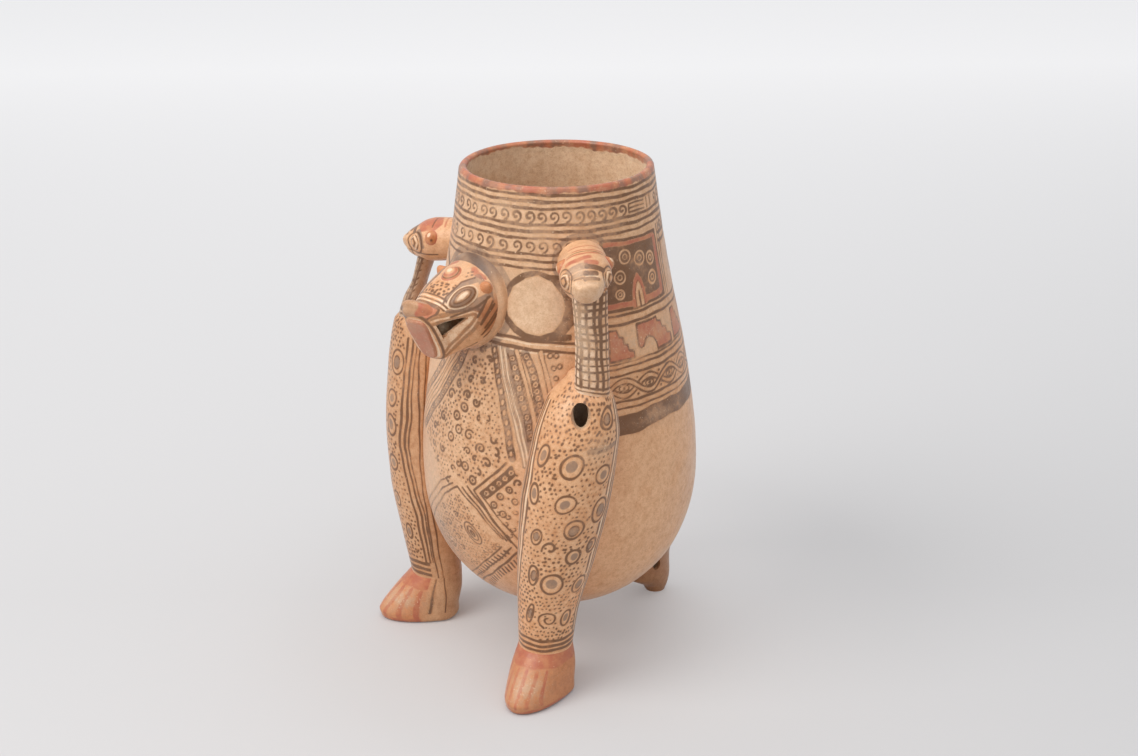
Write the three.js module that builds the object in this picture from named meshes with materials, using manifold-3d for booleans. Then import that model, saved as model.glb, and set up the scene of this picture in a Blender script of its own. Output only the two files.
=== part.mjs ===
// A tripod effigy jar of slip-painted earthenware. A pear-shaped jar stands on two hollow forelegs and a
// hollow tail leg. A hollow animal head looks out from its front. Two arms, each topped by a small animal
// head, run from the neck of the jar to the thighs. Loose clay pellets rattle in the head and the legs.
// Every piece that the potter formed by itself is a solid of its own, and a thin luting gap parts it from
// its neighbours. Millimetres, +Z up, and the animal looks along -Y, so its left side is on +X.
import * as THREE from "three";
import { mergeVertices } from "three/addons/utils/BufferGeometryUtils.js";
import Module from "manifold-3d";

const wasm = await Module();
wasm.setup();

// Clearance left for the slip between two pieces that were luted together.
const LUTING_GAP = 0.3;

// The jar: a round bowl, the belly's wall, a swelling shoulder, a neck that narrows upwards and a lip.
const RIM_HEIGHT = 330;
const RIM_RADIUS = 60.4;
const BELLY_HEIGHT = 130;
const BELLY_RADIUS = 92;
const BASE_HEIGHT = 29;
const BOWL_ROUNDNESS = 2.3;
const SHOULDER_REACH = 55;
const NECK_REACH = 80;
const NECK_FLARE = 0.123;
const WALL = 6.5;
const LIP_WALL = 4.6;
const FLOOR_THICKNESS = 8;
const BOWL_SEAM = 75;
const SHOULDER_SEAM = 226;
const LIP_HEIGHT = 8;
const SEAM_SLOPE = 4;
const JAR_SEGMENTS = 44;
const JAR_STEP = 25;
const BOWL_STEPS = 7;
const LIP_STEPS = 6;

// The forelegs. Azimuth is counted in degrees from the front of the jar, and distance from the jar's axis.
// Across is the half width along the wall of the jar, and deep the half width away from it. The thighs end
// under the arms, so their tops are set from the rim down.
const LEG_WALL = 6.5;
const LEG_SIDES = 20;
const LEG_RINGS = 11;
const LEG_STATIONS = [
  { height: 34, azimuth: 47, distance: 89, across: 17.5, deep: 17.5 },
  { height: 62, azimuth: 48.5, distance: 93, across: 19.5, deep: 19.5 },
  { height: 100, azimuth: 52, distance: 97, across: 24.5, deep: 24 },
  { height: 145, azimuth: 56, distance: 98, across: 28, deep: 27 },
];
const THIGH_TOPS = {
  left: [
    { underRim: 146, azimuth: 60, distance: 96, across: 26.5, deep: 24 },
    { underRim: 123, azimuth: 62, distance: 91, across: 20, deep: 19 },
    { underRim: 112, azimuth: 63, distance: 86, across: 9, deep: 10 },
  ],
  right: [
    { underRim: 144, azimuth: 58.5, distance: 98, across: 26.5, deep: 25 },
    { underRim: 119, azimuth: 58.5, distance: 97, across: 19, deep: 20 },
    { underRim: 108, azimuth: 58.5, distance: 95, across: 9, deep: 10 },
  ],
};
const LEG_VENT = { underTop: 17, azimuth: 60.5, halfWidth: 5.2, halfHeight: 7.5 };

// The feet: an egg-shaped sole that narrows upwards into the ankle, with the toes turned outwards.
const FOOT_TURN = 24;
const FOOT_SIDES = 24;
const HEEL_LENGTH = 14.5;
const TOE_LENGTH = 41;
const FOOT_HALF_WIDTH = 19.5;
const SOLE_ROUNDING = 3;
const TOE_HEIGHT = 8;
const INSTEP_FULLNESS = 1.2;

// The tail leg at the back.
const TAIL_WALL = 5;
const TAIL_SIDES = 18;
const TAIL_RINGS = 7;
const TAIL_SOLE_THICKNESS = 8;
const TAIL_STATIONS = [
  { height: 0, azimuth: 180, distance: 84, across: 8.5, deep: 8.5 },
  { height: 5, azimuth: 180, distance: 83.5, across: 10, deep: 10 },
  { height: 30, azimuth: 180, distance: 78, across: 15, deep: 18 },
  { height: 62, azimuth: 180, distance: 72, across: 21, deep: 25 },
  { height: 96, azimuth: 180, distance: 70, across: 17, deep: 23 },
  { height: 112, azimuth: 180, distance: 68, across: 8, deep: 14 },
];
const TAIL_VENT = { height: 25, halfWidth: 3.2, halfHeight: 4.5 };

// The head. Its root lies under the rim and inside the face of the jar's wall. Along is the distance
// forwards of the root, half the half width, and above and below the reach of each cross-section over and
// under the head's own axis, which dips by HEAD_DIP degrees. Square is the power of the section's oval: 2 is
// an ellipse, and more is squarer.
const HEAD_ROOT = { azimuth: 5, underRim: 72, insideWall: 6.3 };
const HEAD_DIP = 25;
const HEAD_WALL = 5;
const HEAD_FLOOR = 11;
const HEAD_SIDES = 22;
const HEAD_RINGS = 9;
const HEAD_STATIONS = [
  { along: -18, half: 24, above: 21, below: 25, square: 2 },
  { along: 8, half: 28, above: 24, below: 27, square: 2 },
  { along: 22, half: 26, above: 23.5, below: 24, square: 2.1 },
  { along: 34, half: 19, above: 21, below: 20, square: 2.4 },
  { along: 44, half: 13, above: 19.5, below: 18, square: 2.8 },
  { along: 56, half: 10, above: 18, below: 16.5, square: 3 },
];
const SNOUT_FRONT = { along: 47.5, turn: 11 };
const MOUTH_CORNER = { along: 25.5, up: 6.2 };
const MOUTH_FRONT = { along: 42.5, top: 9.2, bottom: -1 };
const LEFT_EYE = { along: 19.5, turn: 40, halfLength: 9.5, halfWidth: 5.5, height: 4.5 };
const RIGHT_EYE = { along: 9, turn: 82, halfLength: 8.5, halfWidth: 6, height: 4.5 };
const LEFT_EAR = { along: 4, turn: 40, halfLength: 5.5, halfWidth: 5.5, height: 6.5 };
const RIGHT_EAR = { along: 4, turn: 40, halfLength: 5.5, halfWidth: 5.5, height: 6.5 };
const NOSE = { along: 42, turn: 95, halfLength: 6, halfWidth: 11.5, height: 4.5 };
const TONGUE = { topHalf: 9, bottomHalf: 5.5, top: 15.5, bottom: -14.5, thickness: 2.4 };
const COLLAR = { thickness: 3.2, reach: 6 };

// The arms. The two were modelled by eye and differ, as the handwork does. Each strut is set by its place
// under the top of the thigh at the lower end, and by its place from the small head's root at the chin.
const ARM_SIDES = 14;
const ARM_RINGS = 6;
const ARM_HEAD_SIDES = 16;
const ARM_HEAD_RINGS = 7;
const ARM_HEAD_DIP = 5;
const ARM_HEAD_STATIONS = [
  { along: -6, half: 14, above: 13.5, below: 14, square: 2 },
  { along: 12, half: 15.5, above: 14, below: 14.5, square: 2 },
  { along: 24, half: 16, above: 13.5, below: 15, square: 2 },
  { along: 34, half: 14.5, above: 10.5, below: 14, square: 2 },
  { along: 40.5, half: 11.5, above: 6, below: 10.5, square: 2 },
  { along: 43.5, half: 7, above: 2.5, below: 5.5, square: 2 },
];
const ARM_EYE = { along: 30, turn: 2, halfLength: 5.5, halfWidth: 4.6, height: 3.5 };
const ARM_EAR = { along: 18, turn: 22, halfLength: 5, halfWidth: 5, height: 4.5 };
const ARMS = {
  left: {
    head: { azimuth: 66.5, underRim: 45.5, insideWall: 3.3 },
    foot: { underTop: 18, azimuth: 65, distance: 97, across: 11, deep: 7.5 },
    knee: { underTop: 4, azimuth: 65.5, distance: 99, across: 11, deep: 6.2 },
    waist: { azimuth: 65.5, distance: 98, across: 10.3, deep: 5.8 },
    chin: { underRoot: 8.5, azimuth: 65, forward: 32, across: 11, deep: 6.5 },
  },
  right: {
    head: { azimuth: -61, underRim: 59, insideWall: 3.8 },
    foot: { underTop: 22, azimuth: -58, distance: 103, across: 11, deep: 7.5 },
    knee: { underTop: 8, azimuth: -58, distance: 105.5, across: 11, deep: 6.6 },
    waist: { azimuth: -60, distance: 99, across: 10.3, deep: 5.8 },
    chin: { underRoot: 9, azimuth: -61, forward: 28, across: 11, deep: 6.5 },
  },
};

// The loose rattle pellets.
const PELLET_RADIUS = 4;
const BALL_SIDES = 9;
const FINE_RINGS = 80;
const HEAD_PELLET_RADIUS = 7.2;
const HEAD_PELLET_GAP = 1.2;
const TAIL_PELLET_RADIUS = 3.5;
const LEG_PELLETS = 3;
const PELLET_SPREAD = 5;

// Fired clay, coloured by the slip that covers each piece.
const BUFF_SLIP = new THREE.MeshStandardMaterial({ color: 0xc79a6c, roughness: 0.55, metalness: 0 });
const RED_SLIP = new THREE.MeshStandardMaterial({ color: 0xab5a3b, roughness: 0.5, metalness: 0 });
const ORANGE_SLIP = new THREE.MeshStandardMaterial({ color: 0xc8733f, roughness: 0.5, metalness: 0 });
const GREY_SLIP = new THREE.MeshStandardMaterial({ color: 0x8d7461, roughness: 0.55, metalness: 0 });
const RAW_CLAY = new THREE.MeshStandardMaterial({ color: 0xa98a66, roughness: 0.8, metalness: 0 });

const radians = THREE.MathUtils.degToRad;

// A closed three.js geometry as a solid for cutting and joining.
function solidOf(geometry) {
  const bare = geometry.clone();
  bare.deleteAttribute("normal");
  bare.deleteAttribute("uv");
  const merged = mergeVertices(bare, 1e-4);
  const corners = merged.index.array;
  const triangles = [];
  for (let i = 0; i < corners.length; i += 3) {
    const [a, b, c] = [corners[i], corners[i + 1], corners[i + 2]];
    if (a !== b && b !== c && c !== a) triangles.push(a, b, c);
  }
  return new wasm.Manifold(
    new wasm.Mesh({
      numProp: 3,
      vertProperties: merged.attributes.position.array,
      triVerts: new Uint32Array(triangles),
    }),
  );
}

// A named mesh of a solid.
function piece(name, solid, material) {
  const { vertProperties, triVerts } = solid.getMesh();
  const geometry = new THREE.BufferGeometry();
  geometry.setAttribute("position", new THREE.BufferAttribute(vertProperties, 3));
  geometry.setIndex(new THREE.BufferAttribute(triVerts, 1));
  geometry.computeVertexNormals();
  const mesh = new THREE.Mesh(geometry, material);
  mesh.name = name;
  return mesh;
}

// A solid skinned over rings of points, each ring running anticlockwise as seen from the last one.
function loft(rings) {
  const sides = rings[0].length;
  const middle = (ring) => ring.reduce((sum, p) => sum.add(p), new THREE.Vector3()).divideScalar(sides);
  const points = [...rings.flat(), middle(rings[0]), middle(rings.at(-1))];
  const [startCap, endCap] = [points.length - 2, points.length - 1];
  const lastRing = (rings.length - 1) * sides;
  const index = [];
  for (let j = 0; j < sides; j++) {
    const next = (j + 1) % sides;
    index.push(startCap, next, j, endCap, lastRing + j, lastRing + next);
    for (let i = 0; i < lastRing; i += sides) {
      index.push(i + j, i + next, i + sides + j, i + next, i + sides + next, i + sides + j);
    }
  }
  const geometry = new THREE.BufferGeometry().setFromPoints(points);
  geometry.setIndex(index);
  return solidOf(geometry);
}

// A solid turned about the Z axis from an outline of [radius, height] points.
function turned(outline) {
  const points = outline.map(([radius, height]) => new THREE.Vector2(radius, height));
  return solidOf(new THREE.LatheGeometry(points, JAR_SEGMENTS).rotateX(Math.PI / 2));
}

// Stations with every value eased smoothly between the ones given, count of them in all.
function eased(stations, count) {
  const keys = Object.keys(stations[0]);
  const curves = new Map(
    keys.map((key) => [
      key,
      new THREE.CatmullRomCurve3(
        stations.map((station, i) => new THREE.Vector3(station[key], i, 0)),
        false,
        "centripetal",
      ),
    ]),
  );
  const made = [];
  for (let i = 0; i < count; i++) {
    const share = i / (count - 1);
    made.push(Object.fromEntries(keys.map((key) => [key, curves.get(key).getPoint(share).x])));
  }
  return made;
}

// Unit directions away from the jar's axis and along its wall, at an azimuth in degrees from the front.
function bearings(azimuth) {
  const turn = radians(azimuth);
  return {
    out: new THREE.Vector3(Math.sin(turn), -Math.cos(turn), 0),
    along: new THREE.Vector3(Math.cos(turn), Math.sin(turn), 0),
  };
}

// The middle of a limb's station.
function stationPoint({ azimuth, distance, height }) {
  return bearings(azimuth).out.multiplyScalar(distance).setZ(height);
}

// A limb skinned over level oval rings, thinned all round by inset.
function limb(stations, sides, inset = 0) {
  const rings = stations.map((station) => {
    const { out, along } = bearings(station.azimuth);
    const middle = stationPoint(station);
    return Array.from({ length: sides }, (_, j) => {
      const turn = (2 * Math.PI * j) / sides;
      return middle
        .clone()
        .addScaledVector(out, Math.max(station.deep - inset, 1) * Math.cos(turn))
        .addScaledVector(along, Math.max(station.across - inset, 1) * Math.sin(turn));
    });
  });
  return loft(rings);
}

// A head skinned over upright oval sections along a frame's forward axis, thinned all round by inset.
function headForm(frame, stations, sides, inset = 0, floorInset = inset) {
  const rings = stations.map(({ along, half, above, below, square }) => {
    const middle = frame.origin.clone().addScaledVector(frame.forward, along);
    const swell = (wave) => Math.sign(wave) * Math.abs(wave) ** (2 / square);
    return Array.from({ length: sides }, (_, j) => {
      const turn = (2 * Math.PI * j) / sides;
      const rise = Math.sin(turn) >= 0 ? above - inset : below - floorInset;
      return middle
        .clone()
        .addScaledVector(frame.side, (half - inset) * swell(Math.cos(turn)))
        .addScaledVector(frame.up, rise * swell(Math.sin(turn)));
    });
  });
  return loft(rings);
}

// The place of a head's root under the rim and inside the face of the wall.
function rootPlace({ azimuth, underRim, insideWall }) {
  const height = RIM_HEIGHT - underRim;
  return { azimuth, height, distance: jarRadius(height, 0) - insideWall };
}

// The frame of a head that looks outwards at an azimuth, with its axis dipping by dip degrees.
function headFrame(root, dip) {
  const { azimuth, distance, height } = rootPlace(root);
  const { out, along } = bearings(azimuth);
  const fall = radians(dip);
  const up = new THREE.Vector3(0, 0, Math.cos(fall)).addScaledVector(out, Math.sin(fall));
  const forward = out.clone().multiplyScalar(Math.cos(fall)).setZ(-Math.sin(fall));
  return {
    origin: out.clone().multiplyScalar(distance).setZ(height),
    forward,
    up,
    side: along,
  };
}

// The matrix that carries local x, y, z onto a frame's side, forward and up axes at a point.
function placed(point, x, y, z) {
  return new THREE.Matrix4().makeBasis(x, y, z).setPosition(point);
}

// A round pellet of clay.
function pelletPiece(name, radius, point) {
  const ball = new THREE.SphereGeometry(radius, BALL_SIDES, BALL_SIDES - 2);
  const pellet = piece(name, solidOf(ball), RAW_CLAY);
  pellet.position.copy(point);
  return pellet;
}

const shoulderCurve = new THREE.CubicBezierCurve(
  new THREE.Vector2(BELLY_RADIUS, BELLY_HEIGHT),
  new THREE.Vector2(BELLY_RADIUS, BELLY_HEIGHT + SHOULDER_REACH),
  new THREE.Vector2(RIM_RADIUS + NECK_FLARE * NECK_REACH, RIM_HEIGHT - NECK_REACH),
  new THREE.Vector2(RIM_RADIUS, RIM_HEIGHT),
);

// The place on the shoulder curve at a height, found by halving.
function shoulderRadius(height) {
  let [low, high] = [0, 1];
  while (high - low > 1e-6) {
    const share = (low + high) / 2;
    if (shoulderCurve.getPoint(share).y < height) low = share;
    else high = share;
  }
  return shoulderCurve.getPoint(low).x;
}

// The radius of the jar's outside at a height, grown by grow: an oval bowl up to the belly, and a smooth
// curve from there to the rim.
function jarRadius(height, grow) {
  if (height >= BELLY_HEIGHT) return shoulderRadius(height) + grow;
  const drop = (BELLY_HEIGHT - height) / (BELLY_HEIGHT - BASE_HEIGHT + grow);
  const share = Math.max(1 - drop ** BOWL_ROUNDNESS, 0);
  return (BELLY_RADIUS + grow) * share ** (1 / BOWL_ROUNDNESS);
}

// The wall's thickness, which thins evenly from the belly to the lip.
function wallAt(height) {
  return WALL + ((LIP_WALL - WALL) * (height - BELLY_HEIGHT)) / (RIM_HEIGHT - BELLY_HEIGHT);
}

// The radius of the jar's hollow at a height.
function hollowRadius(height) {
  if (height >= BELLY_HEIGHT) return shoulderRadius(height) - wallAt(height);
  return jarRadius(height, -WALL);
}

// The seams between the jar's pieces. Each one slopes up inwards by SEAM_SLOPE across the wall.
const LIP_SEAM = RIM_HEIGHT - LIP_HEIGHT;
const SEAM_RISE = SEAM_SLOPE / 2;
const SEAMS = [BOWL_SEAM, BELLY_HEIGHT, SHOULDER_SEAM, LIP_SEAM];

// Heights at which the jar's outline has a corner, closer together where the bowl turns under.
function jarLevels() {
  const bowl = Array.from({ length: BOWL_STEPS }, (_, i) => {
    const turn = ((i + 1) / BOWL_STEPS) * (Math.PI / 2);
    const drop = Math.max(Math.cos(turn), 0) ** (2 / BOWL_ROUNDNESS);
    return BELLY_HEIGHT - (BELLY_HEIGHT - BASE_HEIGHT) * drop;
  });
  const steps = Math.ceil((RIM_HEIGHT - BELLY_HEIGHT) / JAR_STEP);
  const wall = Array.from({ length: steps }, (_, i) => {
    return BELLY_HEIGHT + ((RIM_HEIGHT - BELLY_HEIGHT) * (i + 1)) / steps;
  });
  const seams = SEAMS.flatMap((seam) => [seam - SEAM_RISE, seam - SEAM_RISE + LUTING_GAP]);
  return [...bowl, ...wall, ...seams].sort((a, b) => a - b);
}
const JAR_LEVELS = jarLevels();

// Outline points of the jar's outside from one height up to another.
function outsidePoints(from, to, grow) {
  return JAR_LEVELS.filter((height) => height >= from - 1e-6 && height <= to + 1e-6).map((height) => [
    jarRadius(height, grow),
    height,
  ]);
}

// Outline points of the jar's hollow from one height down to another.
function hollowPoints(from, to) {
  const between = JAR_LEVELS.filter((height) => height < from - 1 && height > to + 1).reverse();
  return [from, ...between, to].map((height) => [hollowRadius(height), height]);
}

// The whole jar as one block grown by grow. Grown by the luting gap, it trims every piece on the outside.
function jarBlock(grow) {
  return turned([[0, BASE_HEIGHT - grow], ...outsidePoints(BASE_HEIGHT, RIM_HEIGHT, grow), [0, RIM_HEIGHT]]);
}
const jarTrim = jarBlock(LUTING_GAP);

// The jar's wall: the moulded bowl, the coiled belly and shoulder, the neck, and the lip. Each piece beds on
// a sloping seam that rises inwards, so the one above can't slip off.
function jarPieces() {
  const band = (from, to) => {
    const outside = outsidePoints(from - SEAM_RISE + LUTING_GAP, to - SEAM_RISE, 0);
    const inside = hollowPoints(to + SEAM_RISE, from + SEAM_RISE + LUTING_GAP);
    return turned([...outside, ...inside, outside[0]]);
  };
  const floor = BASE_HEIGHT + FLOOR_THICKNESS;
  const bowl = turned([
    [0, BASE_HEIGHT],
    ...outsidePoints(BASE_HEIGHT, BOWL_SEAM - SEAM_RISE, 0),
    ...hollowPoints(BOWL_SEAM + SEAM_RISE, floor),
    [0, floor],
  ]);
  const lipRound = LIP_WALL / 2;
  const lipArc = Array.from({ length: LIP_STEPS + 1 }, (_, i) => {
    const turn = (Math.PI * i) / LIP_STEPS;
    return [
      RIM_RADIUS - lipRound + lipRound * Math.cos(turn),
      RIM_HEIGHT - lipRound + lipRound * Math.sin(turn),
    ];
  });
  const lipStart = [jarRadius(LIP_SEAM - SEAM_RISE, 0), LIP_SEAM - SEAM_RISE + LUTING_GAP];
  const lipInside = [hollowRadius(LIP_SEAM), LIP_SEAM + SEAM_RISE + LUTING_GAP];
  const lip = turned([lipStart, ...lipArc, lipInside, lipStart]);
  return [
    piece("base_bowl", bowl, BUFF_SLIP),
    piece("belly_wall", band(BOWL_SEAM, BELLY_HEIGHT), BUFF_SLIP),
    piece("shoulder_wall", band(BELLY_HEIGHT, SHOULDER_SEAM), BUFF_SLIP),
    piece("neck_collar", band(SHOULDER_SEAM, LIP_SEAM), BUFF_SLIP),
    piece("rim_lip", lip, RED_SLIP),
  ];
}

// A foreleg: a hollow shell open towards the jar, with an oval vent at the top of the thigh, standing on a
// solid foot, with its pellets on the floor of the hollow.
function legPieces(sideName, hand) {
  const thigh = THIGH_TOPS[sideName].map(({ underRim, ...station }) => ({
    height: RIM_HEIGHT - underRim,
    ...station,
  }));
  const onSide = [...LEG_STATIONS, ...thigh].map((station) => ({
    ...station,
    azimuth: station.azimuth * hand,
  }));
  const stations = eased(onSide, LEG_RINGS);
  const hollow = stations.map((station) => ({ ...station }));
  hollow[0].height -= LUTING_GAP;
  hollow.at(-1).height -= LEG_WALL;
  const { out, along } = bearings(LEG_VENT.azimuth * hand);
  const drillLength = 2 * LEG_STATIONS.at(-1).deep;
  const ventHeight = onSide.at(-1).height - LEG_VENT.underTop;
  const ventPoint = out.clone().multiplyScalar(BELLY_RADIUS).setZ(ventHeight);
  const ventDrill = solidOf(
    new THREE.CylinderGeometry(1, 1, drillLength, 16)
      .translate(0, drillLength / 2, 0)
      .scale(LEG_VENT.halfWidth, 1, LEG_VENT.halfHeight)
      .applyMatrix4(placed(ventPoint, along.clone().negate(), out, new THREE.Vector3(0, 0, 1))),
  );
  const shell = limb(stations, LEG_SIDES)
    .subtract(limb(hollow, LEG_SIDES, LEG_WALL))
    .subtract(ventDrill)
    .subtract(jarTrim);
  const skin = limb(stations, LEG_SIDES, -LUTING_GAP);
  return [
    piece(`${sideName}_leg`, shell, BUFF_SLIP),
    footPiece(sideName, hand, stations[0]),
    ...legPellets(sideName, stations),
    ...armPieces(sideName, hand, skin, onSide.at(-1).height),
  ];
}

// A solid foot: rounded at the edge of the sole, then easing from the sole's outline to the ankle's.
function footPiece(sideName, hand, ankle) {
  const top = ankle.height - LUTING_GAP;
  const { out, along } = bearings(FOOT_TURN * hand);
  const level = (height, share, grow) => ({
    height,
    toe: THREE.MathUtils.lerp(TOE_LENGTH, ankle.deep, share) + grow,
    half: THREE.MathUtils.lerp(FOOT_HALF_WIDTH, ankle.across, share) + grow,
    heel: THREE.MathUtils.lerp(HEEL_LENGTH, ankle.deep, share) + grow,
  });
  const levels = [
    level(0, 0, -SOLE_ROUNDING),
    level(SOLE_ROUNDING, 0, 0),
    level(TOE_HEIGHT, 0, 0),
    level((TOE_HEIGHT + top) / 2, 0.5, INSTEP_FULLNESS),
    level(top, 1, 0),
  ];
  const middle = stationPoint(ankle);
  const rings = levels.map(({ height, toe, half, heel }) =>
    Array.from({ length: FOOT_SIDES }, (_, j) => {
      const turn = (2 * Math.PI * j) / FOOT_SIDES;
      const reach = Math.cos(turn) >= 0 ? toe : heel;
      return middle
        .clone()
        .setZ(height)
        .addScaledVector(out, reach * Math.cos(turn))
        .addScaledVector(along, half * Math.sin(turn));
    }),
  );
  return piece(`${sideName}_foot`, loft(rings), RED_SLIP);
}

// Pellets side by side on the floor of a leg's hollow.
function legPellets(sideName, stations) {
  const floor = stations[0];
  const middle = stationPoint(floor).setZ(floor.height + PELLET_RADIUS);
  return Array.from({ length: LEG_PELLETS }, (_, i) => {
    const turn = (2 * Math.PI * i) / LEG_PELLETS;
    const offset = new THREE.Vector3(PELLET_SPREAD * Math.cos(turn), PELLET_SPREAD * Math.sin(turn), 0);
    return pelletPiece(`${sideName}_leg_pellet_${i + 1}`, PELLET_RADIUS, offset.add(middle));
  });
}

// The tail leg: a hollow cone with a solid tip, open towards the jar, with a vent in its left side.
function tailPieces() {
  const stations = eased(TAIL_STATIONS, TAIL_RINGS);
  const hollow = stations.filter((station) => station.height > TAIL_SOLE_THICKNESS);
  const inside = hollow.map((station) => ({ ...station }));
  inside.at(-1).height -= TAIL_WALL;
  const ventPoint = stationPoint({ ...TAIL_STATIONS[2], height: TAIL_VENT.height });
  const ventDrill = solidOf(
    new THREE.CylinderGeometry(1, 1, 3 * TAIL_STATIONS[2].across, 12)
      .scale(TAIL_VENT.halfWidth, 1, TAIL_VENT.halfHeight)
      .rotateZ(-Math.PI / 2)
      .translate(TAIL_STATIONS[2].across * 1.5, 0, 0)
      .translate(ventPoint.x, ventPoint.y, ventPoint.z),
  );
  const shell = limb(stations, TAIL_SIDES)
    .subtract(limb(inside, TAIL_SIDES, TAIL_WALL))
    .subtract(ventDrill)
    .subtract(jarTrim);
  const rest = stationPoint(hollow[0]).setZ(hollow[0].height + TAIL_PELLET_RADIUS + LUTING_GAP);
  return [piece("tail_leg", shell, RED_SLIP), pelletPiece("tail_pellet", TAIL_PELLET_RADIUS, rest)];
}

// The matrix that seats a lump on a head's skin, at a distance along its axis and a turn up from its side.
function skinPlace(frame, stations, { along, turn }, hand) {
  const near = eased(stations, FINE_RINGS).reduce((a, b) =>
    Math.abs(a.along - along) < Math.abs(b.along - along) ? a : b,
  );
  const angle = radians(turn);
  const reach = Math.sin(angle) >= 0 ? near.above : near.below;
  const outward = frame.side
    .clone()
    .multiplyScalar((hand * Math.cos(angle)) / near.half)
    .addScaledVector(frame.up, Math.sin(angle) / reach)
    .normalize();
  const point = frame.origin
    .clone()
    .addScaledVector(frame.forward, along)
    .addScaledVector(frame.side, hand * near.half * Math.cos(angle))
    .addScaledVector(frame.up, reach * Math.sin(angle));
  const across = new THREE.Vector3().crossVectors(frame.forward, outward);
  return placed(point, across, frame.forward, outward);
}

// An egg-shaped lump pressed on to a head: the part of it that stands proud of the head's skin.
function pressedOn(name, head, size, hand, material) {
  const lump = new THREE.SphereGeometry(1, 12, 8)
    .rotateX(Math.PI / 2)
    .scale(size.halfWidth, size.halfLength, size.height)
    .applyMatrix4(skinPlace(head.frame, head.stations, size, hand));
  return piece(name, solidOf(lump).subtract(head.skin), material);
}

// The big head: a hollow shell open at the back, cut off flat in front, with a mouth cut through both
// cheeks. Eyes, ears, a nose and a tongue are pressed on, a coil of clay seals its root, and a pellet lies
// inside.
function headPieces() {
  const frame = headFrame(HEAD_ROOT, HEAD_DIP);
  const rings = eased(HEAD_STATIONS, HEAD_RINGS);
  const hollowFront = { ...HEAD_STATIONS.at(-2), along: SNOUT_FRONT.along - HEAD_WALL };
  const hollow = eased([...HEAD_STATIONS.slice(0, -2), hollowFront], HEAD_RINGS);
  const blockSize = 4 * HEAD_STATIONS[1].half;
  const turn = radians(SNOUT_FRONT.turn);
  const facing = frame.forward.clone().applyAxisAngle(frame.up, turn);
  const across = frame.side.clone().applyAxisAngle(frame.up, turn);
  const frontPoint = frame.origin.clone().addScaledVector(frame.forward, SNOUT_FRONT.along);
  const frontCut = solidOf(
    new THREE.BoxGeometry(blockSize, blockSize, blockSize)
      .translate(0, 0, blockSize / 2)
      .applyMatrix4(placed(frontPoint, across, frame.up, facing)),
  );
  const mouthOutline = new THREE.Shape([
    new THREE.Vector2(MOUTH_CORNER.along, MOUTH_CORNER.up),
    new THREE.Vector2(MOUTH_FRONT.along, MOUTH_FRONT.bottom),
    new THREE.Vector2(MOUTH_FRONT.along, MOUTH_FRONT.top),
  ]);
  const mouthCut = solidOf(
    new THREE.ExtrudeGeometry(mouthOutline, { depth: blockSize, bevelEnabled: false })
      .translate(0, 0, -blockSize / 2)
      .applyMatrix4(placed(frame.origin, frame.forward, frame.up, frame.side.clone().negate())),
  );
  const block = headForm(frame, rings, HEAD_SIDES).subtract(frontCut);
  const shell = block
    .subtract(headForm(frame, hollow, HEAD_SIDES, HEAD_WALL, HEAD_FLOOR))
    .subtract(mouthCut)
    .subtract(jarTrim);
  const head = { frame, stations: HEAD_STATIONS, skin: headForm(frame, rings, HEAD_SIDES, -LUTING_GAP) };
  const coil = (grow) =>
    headForm(frame, rings, HEAD_SIDES, -COLLAR.thickness - grow).intersect(jarBlock(COLLAR.reach + grow));
  const collar = coil(0).subtract(head.skin).subtract(jarTrim);
  const headWithCollar = { ...head, skin: head.skin.add(coil(LUTING_GAP)) };
  const tongueOutline = new THREE.Shape([
    new THREE.Vector2(-TONGUE.bottomHalf, TONGUE.bottom),
    new THREE.Vector2(TONGUE.bottomHalf, TONGUE.bottom),
    new THREE.Vector2(TONGUE.topHalf, TONGUE.top),
    new THREE.Vector2(-TONGUE.topHalf, TONGUE.top),
  ]);
  const tongue = solidOf(
    new THREE.ExtrudeGeometry(tongueOutline, { depth: TONGUE.thickness, bevelEnabled: false })
      .translate(0, 0, LUTING_GAP)
      .applyMatrix4(placed(frontPoint, across, frame.up, facing)),
  );
  const restAlong = SNOUT_FRONT.along - HEAD_WALL - HEAD_PELLET_RADIUS - HEAD_PELLET_GAP;
  const floor = eased(HEAD_STATIONS, FINE_RINGS).find(({ along }) => along > restAlong).below - HEAD_FLOOR;
  const rest = frame.origin
    .clone()
    .addScaledVector(frame.forward, restAlong)
    .addScaledVector(frame.up, HEAD_PELLET_RADIUS + LUTING_GAP - floor);
  return [
    piece("head", shell, BUFF_SLIP),
    piece("head_collar", collar, GREY_SLIP),
    pressedOn("left_eye", head, LEFT_EYE, 1, GREY_SLIP),
    pressedOn("right_eye", head, RIGHT_EYE, -1, GREY_SLIP),
    pressedOn("left_ear", headWithCollar, LEFT_EAR, 1, ORANGE_SLIP),
    pressedOn("right_ear", headWithCollar, RIGHT_EAR, -1, ORANGE_SLIP),
    pressedOn("nose", head, NOSE, 1, RED_SLIP),
    piece("tongue", tongue, RED_SLIP),
    pelletPiece("head_pellet", HEAD_PELLET_RADIUS, rest),
  ];
}

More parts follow.
